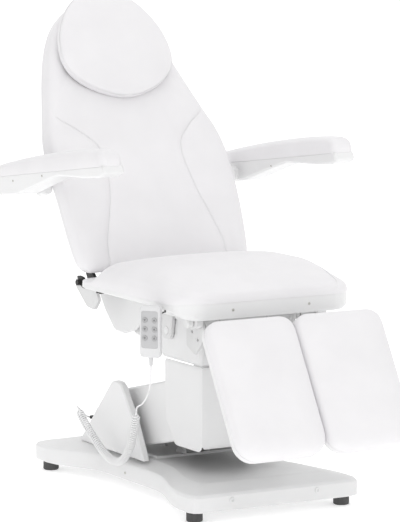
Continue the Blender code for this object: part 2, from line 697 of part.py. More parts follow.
def build_arms():
    lower = [(0.405, 0.855), (0.440, 0.885), (0.440, 0.9135), (-0.278, 1.0113), (-0.290, 0.985),
             (-0.262, 0.972), (-0.166, 0.962), (0.000, 0.953), (0.085, 0.928), (0.173, 0.900),
             (0.255, 0.874)]
    lower = rounded(lower, [0.02, 0.02, 0.0, 0.0, 0.008, 0.02, 0.04, 0.06, 0.06, 0.06, 0.06], 3)
    upper = rounded([(-0.2785, 1.0117), (0.4405, 0.9139), (0.442, 0.932), (0.353, 0.961),
                     (0.174, 0.996), (0.001, 1.024), (-0.167, 1.046), (-0.286, 1.040)],
                    [0.004, 0.004, 0.012, 0.06, 0.10, 0.10, 0.06, 0.018], 3)
    y, z = ARM_PIN
    for name, side in (("arm_right", -1), ("arm_left", 1)):
        origin = (side * ARM_X, y, z)
        x0, x1 = sorted((side * (ARM_X - ARM_W / 2), side * (ARM_X + ARM_W / 2)))
        shell = prism_part(name + "_shell", "shell", lower, x0, x1, origin)
        bevel(shell, 0.006, 1, 50)
        inner = side * (ARM_X - ARM_W / 2 + 0.012)
        join_rod(shell, name + "_boss", (inner, y, z), (side * 0.3370, y, z), 0.024)
        cut_rod(shell, name + "_bore", (side * 0.30, y, z), (side * 0.3745, y, z), 0.0105)
        pad = prism_part(name + "_pad", "upholstery", upper, x0, x1, origin)
        bevel(pad, 0.009, 2, 50)

        # bracket from the back shell out to the arm's pivot
        x0, x1 = sorted((side * 0.3025, side * 0.3365))
        bracket = prism_part(name + "_bracket", "shell", rounded(
            [(y - 0.034, z + 0.026), (y - 0.040, z - 0.020), (y + 0.000, z - 0.034),
             (y + 0.034, z - 0.012), (y + 0.034, z + 0.024)], 0.012, 3), x0, x1,
            (0, *BACK_PIN))
        bevel(bracket, 0.004, 1)
        join_rod(bracket, name + "_pivot", (side * 0.310, y, z), (side * 0.3735, y, z), PIN_R)


# ---------------------------------------------------------------- legs
def leg_place(a, d, n):
    """Leg frame: a across, d down the pad and n out of its face."""
    cos, sin = math.cos(LEG_ANGLE), math.sin(LEG_ANGLE)
    return (a, LEG_PIN[0] - cos * d - sin * n, LEG_PIN[1] - sin * d + cos * n)


def leg_box(bm, lo, hi):
    corners = add_box(bm, lo, hi)
    for vert in corners:
        vert.co = Vector(leg_place(*vert.co))


def join_leg_box(ob, name, lo, hi):
    bm = bmesh.new()
    leg_box(bm, lo, hi)
    boolean(ob, finish(bm, name, "", cutter=True), "UNION")


def build_legs():
    for name, side in (("leg_right", -1), ("leg_left", 1)):
        mid = side * LEG_X
        half = LEG_W / 2
        origin = (mid, *LEG_PIN)
        outline = rounded([(mid + half, LEG_D0), (mid + half, LEG_D1), (mid - half, LEG_D1),
                           (mid - half, LEG_D0)], [0.040, 0.055, 0.055, 0.040], 6)
        outline = densify(outline, 0.05)

        def cushion_place(a, d, h, mid=mid):
            bulge = 1 - ((a - mid) / 0.16) ** 2 - 0.4 * ((d - 0.28) / 0.24) ** 2
            return leg_place(a, d, 0.1655 + (0.046 + 0.009 * bulge) * h)

        bm = bmesh.new()
        rings = [(1.6, 0.0), (0.004, 0.0), (0.0, 0.12), (0.0, 0.42), (0.004, 0.66),
                 (0.013, 0.85), (0.030, 0.96), (0.055, 1.0), (1.60, 1.0), (1.82, 1.0)]
        pad_mesh(bm, outline, rings, cushion_place)
        finish(bm, name + "_cushion", "upholstery", origin)

        bm = bmesh.new()
        rings = [(1.6, 0.147), (0.016, 0.147), (0.004, 0.1505), (0.0, 0.155), (0.0, 0.1652),
                 (1.6, 0.1652)]
        pad_mesh(bm, outline, rings, leg_place)
        shell = finish(bm, name + "_shell", "shell", origin)
        for k, off in enumerate((-0.0565, 0.0565)):
            join_leg_box(shell, "%s_rail%d" % (name, k),
                         (mid + off - 0.0055, LEG_D0 + 0.045, 0.127),
                         (mid + off + 0.0055, LEG_D0 + 0.300, 0.151))

        # hinged carrier: hub on the axle, guide plate and punched side plate
        inner, outer = side * 0.030, side * 0.1850
        hub0, hub1 = sorted((side * 0.1425, outer))
        bm = bmesh.new()
        add_rod(bm, (hub0, *LEG_PIN), (hub1, *LEG_PIN), 0.017)
        carrier = finish(bm, name + "_carrier", "cover", origin)
        x0, x1 = sorted((side * 0.1825, side * 0.1895))
        join_prism(carrier, name + "_lever", rounded(
            [(-0.352, 0.548), (-0.430, 0.580), (-0.452, 0.545), (-0.440, 0.500),
             (-0.403, 0.462), (-0.353, 0.484)], [0.01, 0.016, 0.014, 0.014, 0.010, 0.012], 4),
            x0, x1)
        hub0, hub1 = sorted((inner, side * 0.1275))
        join_rod(carrier, name + "_hub", (hub0, *LEG_PIN), (hub1, *LEG_PIN), 0.017)
        join_leg_box(carrier, name + "_plate", (mid - 0.050, 0.104, 0.127),
                     (mid + 0.050, 0.255, 0.139))
        for k, (a0, a1) in enumerate(((0.106, 0.116), (0.1700, 0.1800))):
            b0, b1 = sorted((side * a0, side * a1))
            web = [(-0.008, -0.013), (0.118, -0.013), (0.142, 0.010), (0.142, 0.133),
                   (0.108, 0.133), (0.104, 0.020), (0.004, 0.016)]
            join_prism(carrier, "%s_web%d" % (name, k), [leg_place(0, d, n)[1:] for d, n in web],
                       b0, b1)
        cut_rod(carrier, name + "_bore", (-0.3, *LEG_PIN), (0.3, *LEG_PIN), PIN_R + GAP)
        for k, (y, z) in enumerate(((-0.385, 0.528), (-0.418, 0.508))):
            cut_rod(carrier, "%s_hole%d" % (name, k), (x0 - 0.01, y, z), (x1 + 0.01, y, z),
                    0.0055, 10)

        # turning cap on the end of the leg axle
        k0, k1 = sorted((side * 0.2128, side * 0.2330))
        bm = bmesh.new()
        add_rod(bm, (k0, *LEG_PIN), (k1, *LEG_PIN), 0.0145, 16)
        knob = finish(bm, name + "_knob", "knob", (side * 0.2128, *LEG_PIN))
        bevel(knob, 0.003, 1, 60)
        b0, b1 = sorted((side * 0.20, side * 0.2265))
        cut_rod(knob, name + "_knob_bore", (b0, *LEG_PIN), (b1, *LEG_PIN), PIN_R + GAP)


# ---------------------------------------------------------------- handset and cord
def hs_place(a, b, c):
    """Handset frame: a across its face, b up and c out of its face."""
    cos, sin = math.cos(HS_YAW), math.sin(HS_YAW)
    return (HS_POS[0] + cos * a + sin * c, HS_POS[1] + sin * a - cos * c, HS_POS[2] + b)


def hs_box(bm, lo, hi):
    corners = add_box(bm, lo, hi)
    for vert in corners:
        vert.co = Vector(hs_place(vert.co.x, vert.co.z, vert.co.y))


BUTTONS = [(x, z) for z in (0.034, 0.008, -0.018) for x in (-0.0145, 0.0145)]


def hs_cyl(bm, a, b, c0, c1, radius, seg=16):
    add_rod(bm, hs_place(a, b, c0), hs_place(a, b, c1), radius, seg)


def build_handset():
    origin = HS_POS
    half_w, half_h, half_t = HS_W / 2, HS_H / 2, HS_T / 2
    outline = rounded([(half_w, -half_h), (half_w, half_h), (-half_w, half_h),
                       (-half_w, -half_h)], 0.012, 4)
    bm = bmesh.new()
    rings = [(1.5, -half_t), (0.004, -half_t), (0.001, -half_t + 0.002), (0.0, -half_t + 0.006),
             (0.0, half_t - 0.006), (0.0015, half_t - 0.002), (0.0045, half_t), (1.5, half_t)]
    pad_mesh(bm, outline, rings, hs_place)
    case = finish(bm, "handset_case", "handset_body", origin)
    # recess for the keypad, hanging lug on the back and cord sleeve below
    recess = rounded([(0.0255, -0.047), (0.0255, 0.060), (-0.0255, 0.060), (-0.0255, -0.047)],
                     0.006, 3)
    bm = bmesh.new()
    pad_mesh(bm, recess, [(1.5, half_t - 0.0025), (0.0, half_t - 0.0025), (0.0, half_t + 0.01),
                          (1.5, half_t + 0.01)], hs_place)
    boolean(case, finish(bm, "keypad_recess", "", cutter=True))
    for k, (lo, hi) in enumerate((((-0.009, -half_t - 0.0085, 0.0500), (0.009, -half_t + 0.002, 0.0560)),
                                  ((-0.009, -half_t - 0.0085, 0.0360), (0.009, -half_t - 0.0060, 0.0540)))):
        bm = bmesh.new()
        hs_box(bm, lo, hi)
        boolean(case, finish(bm, "lug%d_part" % k, "", cutter=True), "UNION")
    bm = bmesh.new()
    add_rod(bm, hs_place(0, -half_h + 0.002, 0), hs_place(0, -half_h - 0.024, 0), 0.0068, 14, 0.0046)
    boolean(case, finish(bm, "cord_sleeve", "", cutter=True), "UNION")

    bm = bmesh.new()
    panel = rounded([(0.0252, -0.0467), (0.0252, 0.0597), (-0.0252, 0.0597), (-0.0252, -0.0467)],
                    0.006, 3)
    pad_mesh(bm, panel, [(1.5, half_t - 0.0022), (0.0, half_t - 0.0022), (0.0, half_t - 0.0004),
                         (1.5, half_t - 0.0004)], hs_place)
    plate = finish(bm, "handset_panel", "handset_panel", origin)
    for k, (a, b) in enumerate(BUTTONS):
        bm = bmesh.new()
        hs_cyl(bm, a, b, half_t - 0.01, half_t + 0.01, 0.0084, 12)
        boolean(plate, finish(bm, "button_hole%d" % k, "", cutter=True))
        bm = bmesh.new()
        hs_cyl(bm, a, b, half_t - 0.0011, half_t + 0.0010, 0.0078, 12)
        finish(bm, "button_%d" % (k + 1), "button", hs_place(a, b, half_t))

    # wire hook on the tray that the handset's lug rests on
    bar_b = 0.0500 - GAP - 0.0022
    bar_c = -half_t - 0.0032
    bm = bmesh.new()
    add_rod(bm, hs_place(-0.017, bar_b, bar_c), hs_place(0.017, bar_b, bar_c), 0.0022, 8)
    hook = finish(bm, "handset_hook", "dark_steel", (0, *TILT_PIN))
    for k, a in enumerate((-0.0155, 0.0155)):
        bar = Vector(hs_place(a, bar_b, bar_c))
        top = Vector(hs_place(a, bar_b, bar_c - 0.060))
        join_rod(hook, "hook_leg%d" % k, tuple(bar), tuple(top), 0.0022, 8)
        rise = Vector((top.x, top.y, TRAY_Z0 - GAP))
        join_rod(hook, "hook_rise%d" % k, tuple(top - Vector((0, 0, 0.0022))), tuple(rise), 0.0026, 8)


def cord_tube(name, points, radius, sides, steps):
    """Round tube that follows a smooth path through the points."""
    path = []
    pts = [Vector(p) for p in points]
    for i in range(len(pts) - 1):
        p1, p2 = pts[i], pts[i + 1]
        p0 = pts[i - 1] if i > 0 else p1 * 2 - p2
        p3 = pts[i + 2] if i + 2 < len(pts) else p2 * 2 - p1
        for k in range(steps):
            t = k / steps
            path.append((p1 * 2 + (p2 - p0) * t + (p0 * 2 - p1 * 5 + p2 * 4 - p3) * t * t
                         + (p1 * 3 - p0 - p2 * 3 + p3) * t * t * t) / 2)
    path.append(pts[-1])
    bm = bmesh.new()
    ahead = (path[1] - path[0]).normalized()
    across = ahead.cross(Vector((0.3, 0.9, 0.2))).normalized()
    loops = []
    for i, here in enumerate(path):
        before, after = path[max(0, i - 1)], path[min(len(path) - 1, i + 1)]
        ahead = (after - before).normalized()
        across = (across - ahead * across.dot(ahead)).normalized()
        over = ahead.cross(across)
        loops.append([bm.verts.new(here + (across * math.cos(2 * math.pi * k / sides)
                                           + over * math.sin(2 * math.pi * k / sides)) * radius)
                      for k in range(sides)])
    for low, high in zip(loops, loops[1:]):
        for i in range(sides):
            j = (i + 1) % sides
            bm.faces.new((low[i], low[j], high[j], high[i]))
    bm.faces.new(loops[0])
    bm.faces.new(list(reversed(loops[-1])))
    return finish(bm, name, "cord", tuple(path[0]))


COIL_START = (-0.2560, -0.172, 0.262)
COIL_PATH = [COIL_START, (-0.2500, -0.150, 0.218), (-0.2400, -0.105, 0.150),
             (-0.2340, -0.045, 0.100), (-0.2330, 0.010, 0.088), (-0.2340, 0.070, 0.104),
             (-0.2380, 0.135, 0.145), (-0.2420, 0.190, 0.188), (-0.2380, 0.222, 0.211)]


def build_cord():
    sleeve = hs_place(0, -HS_H / 2 - 0.0244, 0)
    lead = [sleeve, (sleeve[0] + 0.001, sleeve[1] + 0.004, sleeve[2] - 0.035),
            (-0.312, sleeve[1] + 0.040, 0.355), (-0.288, -0.270, 0.310),
            (-0.266, -0.196, 0.285),
            tuple(Vector(COIL_START) + Vector((0.0015, -0.0035, 0.0085)))]
    cord_tube("cord_lead", lead, 0.0025, 6, 4)
    cord_tube("cord_coil", COIL_PATH, 0.0115, 8, 2)
    tail = [tuple(Vector(COIL_PATH[-1]) + Vector((0.0060, 0.0150, 0.0040))),
            (-0.224, 0.262, 0.214), (-0.208, 0.272, 0.200), (-0.194, 0.270, 0.184),
            (-0.1800, 0.2640, 0.1763)]
    cord_tube("cord_tail", tail, 0.0025, 6, 3)
    bm = bmesh.new()
    add_rod(bm, (-0.1770, 0.2640, 0.1760), (-0.1605, 0.2640, 0.1760), 0.0055, 12)
    finish(bm, "cord_plug", "rubber", (-0.1770, 0.2640, 0.1760))


build_base()
build_lift()
build_seat()
build_back()
build_legs()
build_handset()
build_cord()
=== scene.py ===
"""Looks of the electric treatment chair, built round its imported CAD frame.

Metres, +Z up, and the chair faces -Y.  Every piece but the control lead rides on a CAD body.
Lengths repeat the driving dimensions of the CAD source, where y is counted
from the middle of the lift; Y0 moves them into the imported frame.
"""
import math
import sys

import bmesh
import bpy
import numpy as np
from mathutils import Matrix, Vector
from mathutils.bvhtree import BVHTree


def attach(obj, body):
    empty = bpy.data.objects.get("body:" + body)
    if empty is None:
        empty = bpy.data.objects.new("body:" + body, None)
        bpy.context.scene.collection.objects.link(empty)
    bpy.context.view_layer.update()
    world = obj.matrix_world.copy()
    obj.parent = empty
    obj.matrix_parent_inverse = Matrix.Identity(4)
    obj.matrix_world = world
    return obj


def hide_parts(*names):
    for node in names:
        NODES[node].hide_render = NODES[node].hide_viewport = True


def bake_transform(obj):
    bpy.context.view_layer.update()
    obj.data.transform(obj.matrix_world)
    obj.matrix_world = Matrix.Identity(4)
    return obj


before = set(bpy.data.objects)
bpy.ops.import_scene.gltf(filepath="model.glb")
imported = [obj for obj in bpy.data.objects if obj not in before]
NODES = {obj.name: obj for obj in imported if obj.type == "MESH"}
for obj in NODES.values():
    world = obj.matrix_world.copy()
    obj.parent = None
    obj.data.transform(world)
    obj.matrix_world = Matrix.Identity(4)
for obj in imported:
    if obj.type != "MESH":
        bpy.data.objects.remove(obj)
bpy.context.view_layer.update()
SCENE = bpy.context.scene

Y0 = 0.1133
LEG_PIN = (-0.425, 0.560)
LEG_ANGLE = math.radians(59.5)
LEG_X, LEG_W = 0.146, 0.285
LEG_D0, LEG_D1 = 0.074, 0.490
LEG_CORNERS = (0.040, 0.055)
PAD_N = 0.1655         # how far out of the hinge line a leg cushion begins
ARM_X, ARM_W = 0.389, 0.070
HS_POS = (-0.326, -0.388, 0.539)
HS_YAW = math.radians(-50.0)
HS_H, HS_T = 0.150, 0.022
BUTTONS = [(a, b) for b in (0.034, 0.008, -0.018) for a in (-0.0145, 0.0145)]


# ---------------------------------------------------------------- materials
def tree_of(name):
    mat = bpy.data.materials.new(name)
    mat.use_nodes = True
    return mat, mat.node_tree, mat.node_tree.nodes["Principled BSDF"]


def noise(tree, scale, detail=3.0, rough=0.5, stretch=None):
    """Noise in the object's own space, so it needs no UVs."""
    coord = tree.nodes.new("ShaderNodeTexCoord")
    out = tree.nodes.new("ShaderNodeTexNoise")
    out.inputs["Scale"].default_value = scale
    out.inputs["Detail"].default_value = detail
    out.inputs["Roughness"].default_value = rough
    source = coord.outputs["Object"]
    if stretch:
        mapping = tree.nodes.new("ShaderNodeMapping")
        mapping.inputs["Scale"].default_value = stretch
        tree.links.new(source, mapping.inputs["Vector"])
        source = mapping.outputs["Vector"]
    tree.links.new(source, out.inputs["Vector"])
    return out.outputs["Fac"]


def cells(tree, scale):
    coord = tree.nodes.new("ShaderNodeTexCoord")
    out = tree.nodes.new("ShaderNodeTexVoronoi")
    out.feature = "SMOOTH_F1"
    out.inputs["Scale"].default_value = scale
    out.inputs["Smoothness"].default_value = 0.6
    tree.links.new(coord.outputs["Object"], out.inputs["Vector"])
    return out.outputs["Distance"]


def spread(tree, value, low, high):
    out = tree.nodes.new("ShaderNodeMapRange")
    out.inputs["From Min"].default_value = 0.3
    out.inputs["From Max"].default_value = 0.7
    out.inputs["To Min"].default_value = low
    out.inputs["To Max"].default_value = high
    tree.links.new(value, out.inputs["Value"])
    return out.outputs["Result"]


def tint(tree, value, low, high):
    out = tree.nodes.new("ShaderNodeValToRGB")
    out.color_ramp.elements[0].position = 0.3
    out.color_ramp.elements[1].position = 0.7
    out.color_ramp.elements[0].color = (*low, 1.0)
    out.color_ramp.elements[1].color = (*high, 1.0)
    tree.links.new(value, out.inputs["Fac"])
    return out.outputs["Color"]


def bump(tree, value, strength, depth, under=None):
    out = tree.nodes.new("ShaderNodeBump")
    out.inputs["Strength"].default_value = strength
    out.inputs["Distance"].default_value = depth
    tree.links.new(value, out.inputs["Height"])
    if under:
        tree.links.new(under, out.inputs["Normal"])
    return out.outputs["Normal"]


def leather(name, low, high, rough):
    """Smooth synthetic leather: fine pebbled grain over slow soft waves."""
    mat, tree, bsdf = tree_of(name)
    tree.links.new(tint(tree, noise(tree, 9.0, 4.0), low, high), bsdf.inputs["Base Color"])
    tree.links.new(spread(tree, noise(tree, 60.0), rough - 0.05, rough + 0.06),
                   bsdf.inputs["Roughness"])
    waves = bump(tree, noise(tree, 26.0, 3.0), 0.12, 0.004)
    grain = bump(tree, cells(tree, 620.0), 0.22, 0.0005, waves)
    tree.links.new(bump(tree, noise(tree, 1500.0, 2.0), 0.10, 0.0002, grain),
                   bsdf.inputs["Normal"])
    bsdf.inputs["Sheen Weight"].default_value = 0.05
    bsdf.inputs["Specular IOR Level"].default_value = 0.42
    return mat


def plastic(name, low, high, rough, grain=0.06, coat=0.0):
    """Moulded or painted shell: fine spark-eroded texture, slight tone drift."""
    mat, tree, bsdf = tree_of(name)
    tree.links.new(tint(tree, noise(tree, 5.0, 3.0), low, high), bsdf.inputs["Base Color"])
    tree.links.new(spread(tree, noise(tree, 40.0, 5.0), rough - 0.04, rough + 0.06),
                   bsdf.inputs["Roughness"])
    flow = bump(tree, noise(tree, 14.0, 2.0), 0.05, 0.004)
    tree.links.new(bump(tree, noise(tree, 1300.0, 2.0), grain, 0.0003, flow),
                   bsdf.inputs["Normal"])
    bsdf.inputs["Coat Weight"].default_value = coat
    bsdf.inputs["Coat Roughness"].default_value = 0.25
    return mat


def metal(name, low, high, rough, metallic=1.0, stretch=(1.0, 1.0, 18.0)):
    """Ground or coated steel with fine lines and uneven sheen."""
    mat, tree, bsdf = tree_of(name)
    tree.links.new(tint(tree, noise(tree, 30.0, 5.0), low, high), bsdf.inputs["Base Color"])
    tree.links.new(spread(tree, noise(tree, 90.0, 4.0, 0.6, stretch), rough - 0.08, rough + 0.10),
                   bsdf.inputs["Roughness"])
    tree.links.new(bump(tree, noise(tree, 400.0, 3.0, 0.6, stretch), 0.10, 0.0003),
                   bsdf.inputs["Normal"])
    bsdf.inputs["Metallic"].default_value = metallic
    return mat


def grey(value, blue=0.0):
    return (value, value, value + blue)


MAT = {
    "upholstery": leather("white_leather", (0.785, 0.775, 0.788), (0.815, 0.805, 0.818), 0.46),
    "thread": leather("white_thread", grey(0.70), grey(0.80), 0.65),
    "shell": plastic("white_shell", grey(0.775, 0.002), grey(0.800, 0.002), 0.34),
    "cover": plastic("white_cover", grey(0.765, 0.002), grey(0.795, 0.002), 0.38, 0.09),
    "knob": plastic("knob_plastic", grey(0.80), grey(0.84), 0.30, 0.04, 0.2),
    "handset_body": plastic("handset_case", grey(0.69, 0.006), grey(0.73, 0.006), 0.42, 0.12),
    "handset_panel": plastic("keypad", grey(0.50, 0.008), grey(0.54, 0.008), 0.55, 0.10),
    "button": plastic("keypad_button", grey(0.40, 0.006), grey(0.45, 0.006), 0.50, 0.08),
    "symbol": plastic("symbol_grey", grey(0.18), grey(0.22), 0.55),
    "cord": plastic("cord_jacket", grey(0.80, 0.003), grey(0.85, 0.003), 0.48, 0.05),
    "rubber": plastic("black_rubber", grey(0.030), grey(0.045), 0.75, 0.20),
    "foot": plastic("foot_rubber", grey(0.055), grey(0.085), 0.70, 0.20),
    "control": plastic("control_case", grey(0.10), grey(0.13), 0.50, 0.12),
    "dark_steel": metal("black_coated_steel", grey(0.025), grey(0.040), 0.48, 0.35),
    "bracket_white": plastic("bracket_paint", grey(0.66), grey(0.71), 0.36, 0.05, 0.15),
    "steel": metal("ground_steel", (0.50, 0.50, 0.50), (0.60, 0.60, 0.61), 0.32),
    "bright": metal("zinc_screw", (0.52, 0.51, 0.48), (0.66, 0.65, 0.62), 0.28),
}


# ---------------------------------------------------------------- mesh helpers
def piece(bm, name, mat, body, auto=None):
    """Turn a bmesh in chair coordinates into a finished piece on a body."""
    bmesh.ops.remove_doubles(bm, verts=bm.verts, dist=0.000005)
    bmesh.ops.recalc_face_normals(bm, faces=bm.faces)
    for vert in bm.verts:
        vert.co.y += Y0
    mesh = bpy.data.meshes.new(name)
    bm.to_mesh(mesh)
    bm.free()
    mesh.polygons.foreach_set("use_smooth", [True] * len(mesh.polygons))
    if auto is not None:
        mesh.set_sharp_from_angle(angle=math.radians(auto))
    mesh.materials.append(MAT[mat])
    ob = bpy.data.objects.new(name, mesh)
    SCENE.collection.objects.link(ob)
    if body:
        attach(ob, body)
    return ob


def refine(ob, levels=1):
    """Apply a subdivision, so that what follows works on the final mesh."""
    mod = ob.modifiers.new("subdivide", "SUBSURF")
    mod.levels = mod.render_levels = levels
    bpy.context.view_layer.update()
    graph = bpy.context.evaluated_depsgraph_get()
    mesh = bpy.data.meshes.new_from_object(ob.evaluated_get(graph))
    ob.modifiers.clear()
    ob.data = mesh
    mesh.polygons.foreach_set("use_smooth", [True] * len(mesh.polygons))
    return ob


def smooth_path(points, steps):
    """Catmull-Rom curve through the points."""
    pts = [Vector(p) for p in points]
    out = []
    for i in range(len(pts) - 1):
        p1, p2 = pts[i], pts[i + 1]
        p0 = pts[i - 1] if i > 0 else p1 * 2 - p2
        p3 = pts[i + 2] if i + 2 < len(pts) else p2 * 2 - p1
        for k in range(steps):
            t = k / steps
            out.append((p1 * 2 + (p2 - p0) * t + (p0 * 2 - p1 * 5 + p2 * 4 - p3) * t * t
                        + (p1 * 3 - p0 - p2 * 3 + p3) * t ** 3) / 2)
    out.append(pts[-1])
    return out


def run_of(points):
    """Distance along a path at each of its points."""
    out = [0.0]
    for here, after in zip(points, points[1:]):
        out.append(out[-1] + (after - here).length)
    return out


def resample(points, step):
    """The same path with even steps of about the given length."""
    pts = [Vector(p) for p in points]
    run = run_of(pts)
    count = max(2, round(run[-1] / step))
    grid = np.linspace(0.0, run[-1], count + 1)
    axes = [np.interp(grid, run, [p[k] for p in pts]) for k in range(len(pts[0]))]
    return [Vector(p) for p in zip(*axes)]


def tube(bm, path, radius, sides=10, caps=True):
    """Round tube along a path; radius may change along it."""
    path = [Vector(p) for p in path]
    radii = radius if isinstance(radius, (list, tuple)) else [radius] * len(path)
    ahead = (path[1] - path[0]).normalized()
    across = ahead.orthogonal().normalized()
    loops = []
    for i, here in enumerate(path):
        ahead = (path[min(len(path) - 1, i + 1)] - path[max(0, i - 1)]).normalized()
        across = (across - ahead * across.dot(ahead)).normalized()
        over = ahead.cross(across)
        loops.append([bm.verts.new(here + (across * math.cos(2 * math.pi * k / sides)
                                           + over * math.sin(2 * math.pi * k / sides)) * radii[i])
                      for k in range(sides)])
    for low, high in zip(loops, loops[1:]):
        for i in range(sides):
            j = (i + 1) % sides
            bm.faces.new((low[i], low[j], high[j], high[i]))
    if caps:
        bm.faces.new(loops[0][::-1])
        bm.faces.new(loops[-1])


def turned(bm, at, axis, profile, sides=20):
    """Turned shape: profile of (radius, height along the axis) from a point."""
    at, axis = Vector(at), Vector(axis).normalized()
    side = axis.orthogonal().normalized()
    over = axis.cross(side)
    loops = []
    for radius, height in profile:
        base = at + axis * height
        if radius <= 0:
            loops.append([bm.verts.new(base)])
            continue
        loops.append([bm.verts.new(base + (side * math.cos(2 * math.pi * k / sides)
                                           + over * math.sin(2 * math.pi * k / sides)) * radius)
                      for k in range(sides)])
    for low, high in zip(loops, loops[1:]):
        for i in range(sides):
            j = (i + 1) % sides
            if len(low) == 1:
                bm.faces.new((low[0], high[i], high[j]))
            elif len(high) == 1:
                bm.faces.new((low[i], low[j], high[0]))
            else:
                bm.faces.new((low[i], low[j], high[j], high[i]))


def screw_head(bm, at, axis, radius):
    """Pan head with a round drive recess, standing on a surface."""
    tall = radius * 0.42
    turned(bm, at, axis, [(radius * 0.96, -0.0006), (radius, tall * 0.35),
                          (radius * 0.90, tall * 0.80), (radius * 0.62, tall),
                          (radius * 0.44, tall), (radius * 0.36, tall * 0.35),
                          (0.0, tall * 0.30)], 18)


# ---------------------------------------------------------------- soft pads
CLOTH_FRAMES = 20


def pad(name, body, node, side, split, columns, face, wall, place, step=0.022, puff=None):
    """Upholstered pad over one outline.

    side is the right half of the outline as (a, s) from foot to top.  A
    sewn seam runs up each half at a = split(s); columns places the mesh's
    columns as (share of the inner panel, share of the outer one, shift).
    face(a, s, d) is the height at distance d from the outline, and wall
    lists (outward, height) loops from the face's edge to the underside.
    """
    side = [(p.x, p.y) for p in resample(side, step)]
    edge = np.array([(a, s) for a, s in side] + [(-a, s) for a, s in reversed(side)])
    after = np.roll(edge, -1, axis=0)

    def depth(a, s):
        line = after - edge
        t = ((np.array((a, s)) - edge) * line).sum(1) / np.maximum((line ** 2).sum(1), 1e-12)
        near = edge + line * np.clip(t, 0, 1)[:, None]
        return float(np.hypot(*(near - (a, s)).T).min())

    bm = bmesh.new()
    rows = []
    for w, s in side:
        inner = min(split(s), w * 0.97)
        room = min(1.0, (w - inner) / 0.03)
        half = [inner * p + (w - inner) * q + shift * room for p, q, shift in columns]
        across = [-a for a in reversed(half)] + [0.0] + half
        rows.append([(a, s) for a in across])
    last = len(side) - 1
    count = len(rows[0])
    grid = []
    for j, row in enumerate(rows):
        grid.append([])
        for i, (a, s) in enumerate(row):
            edge_point = j in (0, last) or i in (0, count - 1)
            grid[-1].append(bm.verts.new((a, s, face(a, s, 0.0 if edge_point else depth(a, s)))))
    for low, high in zip(grid, grid[1:]):
        for i in range(count - 1):
            bm.faces.new((low[i], low[i + 1], high[i + 1], high[i]))
    close_pad(bm, grid, rows, wall)
    bm.verts.index_update()
    seam_at = {columns.index(c) for c in columns if c[0] == 1 and c[1] == 0 and c[2] == 0}
    middle = count // 2
    free = {grid[j][i].index for j in range(2, last - 1) for i in range(2, count - 2)
            if abs(i - middle) - 1 not in seam_at}
    pins = [v.index for v in bm.verts if v.index not in free]
    for v in bm.verts:
        v.co = Vector(place(*v.co))
    mesh = bpy.data.meshes.new(name)
    bm.to_mesh(mesh)
    bm.free()
    ob = bpy.data.objects.new(name, mesh)
    SCENE.collection.objects.link(ob)
    if puff:
        inflate(ob, pins, *puff)
    refine(ob)
    bm = bmesh.new()
    bm.from_mesh(ob.data)
    bpy.data.objects.remove(ob)
    return piece(bm, name, "upholstery", body)


def close_pad(bm, grid, rows, wall):
    """Wall loops down from a pad's face, then an underside on the same grid."""
    rim = (grid[0] + [row[-1] for row in grid[1:]] + grid[-1][-2::-1]
           + [row[0] for row in grid[-2:0:-1]])
    flat = [Vector((v.co.x, v.co.y)) for v in rim]
    outward = []
    for k in range(len(flat)):
        ahead = (flat[(k + 1) % len(flat)] - flat[k - 1]).normalized()
        outward.append(Vector((ahead.y, -ahead.x)))
    loop = rim
    for out, height in wall:
        fresh = []
        for spot, away in zip(flat, outward):
            here = spot + away * out
            level = height(here.x, here.y) if callable(height) else height
            fresh.append(bm.verts.new((here.x, here.y, level)))
        for k in range(len(loop)):
            n = (k + 1) % len(loop)
            bm.faces.new((loop[n], loop[k], fresh[k], fresh[n]))
        loop = fresh

    base = wall[-1][1]
    last, count = len(rows) - 1, len(rows[0])
    floor = [[None] * count for _ in rows]
    for k, v in enumerate(loop):
        if k < count:
            spot = (0, k)
        elif k < count + last:
            spot = (k - count + 1, count - 1)
        elif k < 2 * count + last - 1:
            spot = (last, count - 2 - (k - count - last))
        else:
            spot = (last - 1 - (k - 2 * count - last + 1), 0)
        floor[spot[0]][spot[1]] = v
    for j in range(1, last):
        for i in range(1, count - 1):
            a, s = rows[j][i]
            floor[j][i] = bm.verts.new((a, s, base(a, s) if callable(base) else base))
    for low, high in zip(floor, floor[1:]):
        for i in range(count - 1):
            bm.faces.new((low[i + 1], low[i], high[i], high[i + 1]))


def inflate(ob, pins, pressure, cap):
    """Swell the free part of a pad as cloth under pressure, by at most cap."""
    rest = np.array([v.co for v in ob.data.vertices])
    bm = bmesh.new()
    bm.from_mesh(ob.data)
    bmesh.ops.recalc_face_normals(bm, faces=bm.faces)
    bm.to_mesh(ob.data)
    bm.free()
    group = ob.vertex_groups.new(name="pins")
    group.add(pins, 1.0, "REPLACE")
    cloth = ob.modifiers.new("cloth", "CLOTH")
    rule = cloth.settings
    rule.quality = 6
    rule.mass = 0.35
    rule.tension_stiffness = rule.compression_stiffness = 25.0
    rule.shear_stiffness = 12.0
    rule.bending_stiffness = 1.5
    rule.use_pressure = True
    rule.uniform_pressure_force = pressure
    rule.vertex_group_mass = "pins"
    rule.effector_weights.gravity = 0.0
    for step in range(1, CLOTH_FRAMES + 1):
        SCENE.frame_set(step)
    graph = bpy.context.evaluated_depsgraph_get()
    swollen = np.array([v.co for v in ob.evaluated_get(graph).data.vertices])
    move = swollen - rest
    far = np.linalg.norm(move, axis=1, keepdims=True)
    far = np.maximum(far, 1e-9)
    move *= cap * np.tanh(far / cap) / far
    ob.modifiers.remove(cloth)
    ob.vertex_groups.clear()
    ob.data.vertices.foreach_set("co", (rest + move).ravel())
    SCENE.frame_set(1)


def dip(x, width, deep):
    """Depth of a sewn groove at distance x from its line."""
    return deep * math.exp(-(x / width) ** 2)


def ease(value):
    value = max(0.0, min(1.0, value))
    return value * value * (3 - 2 * value)


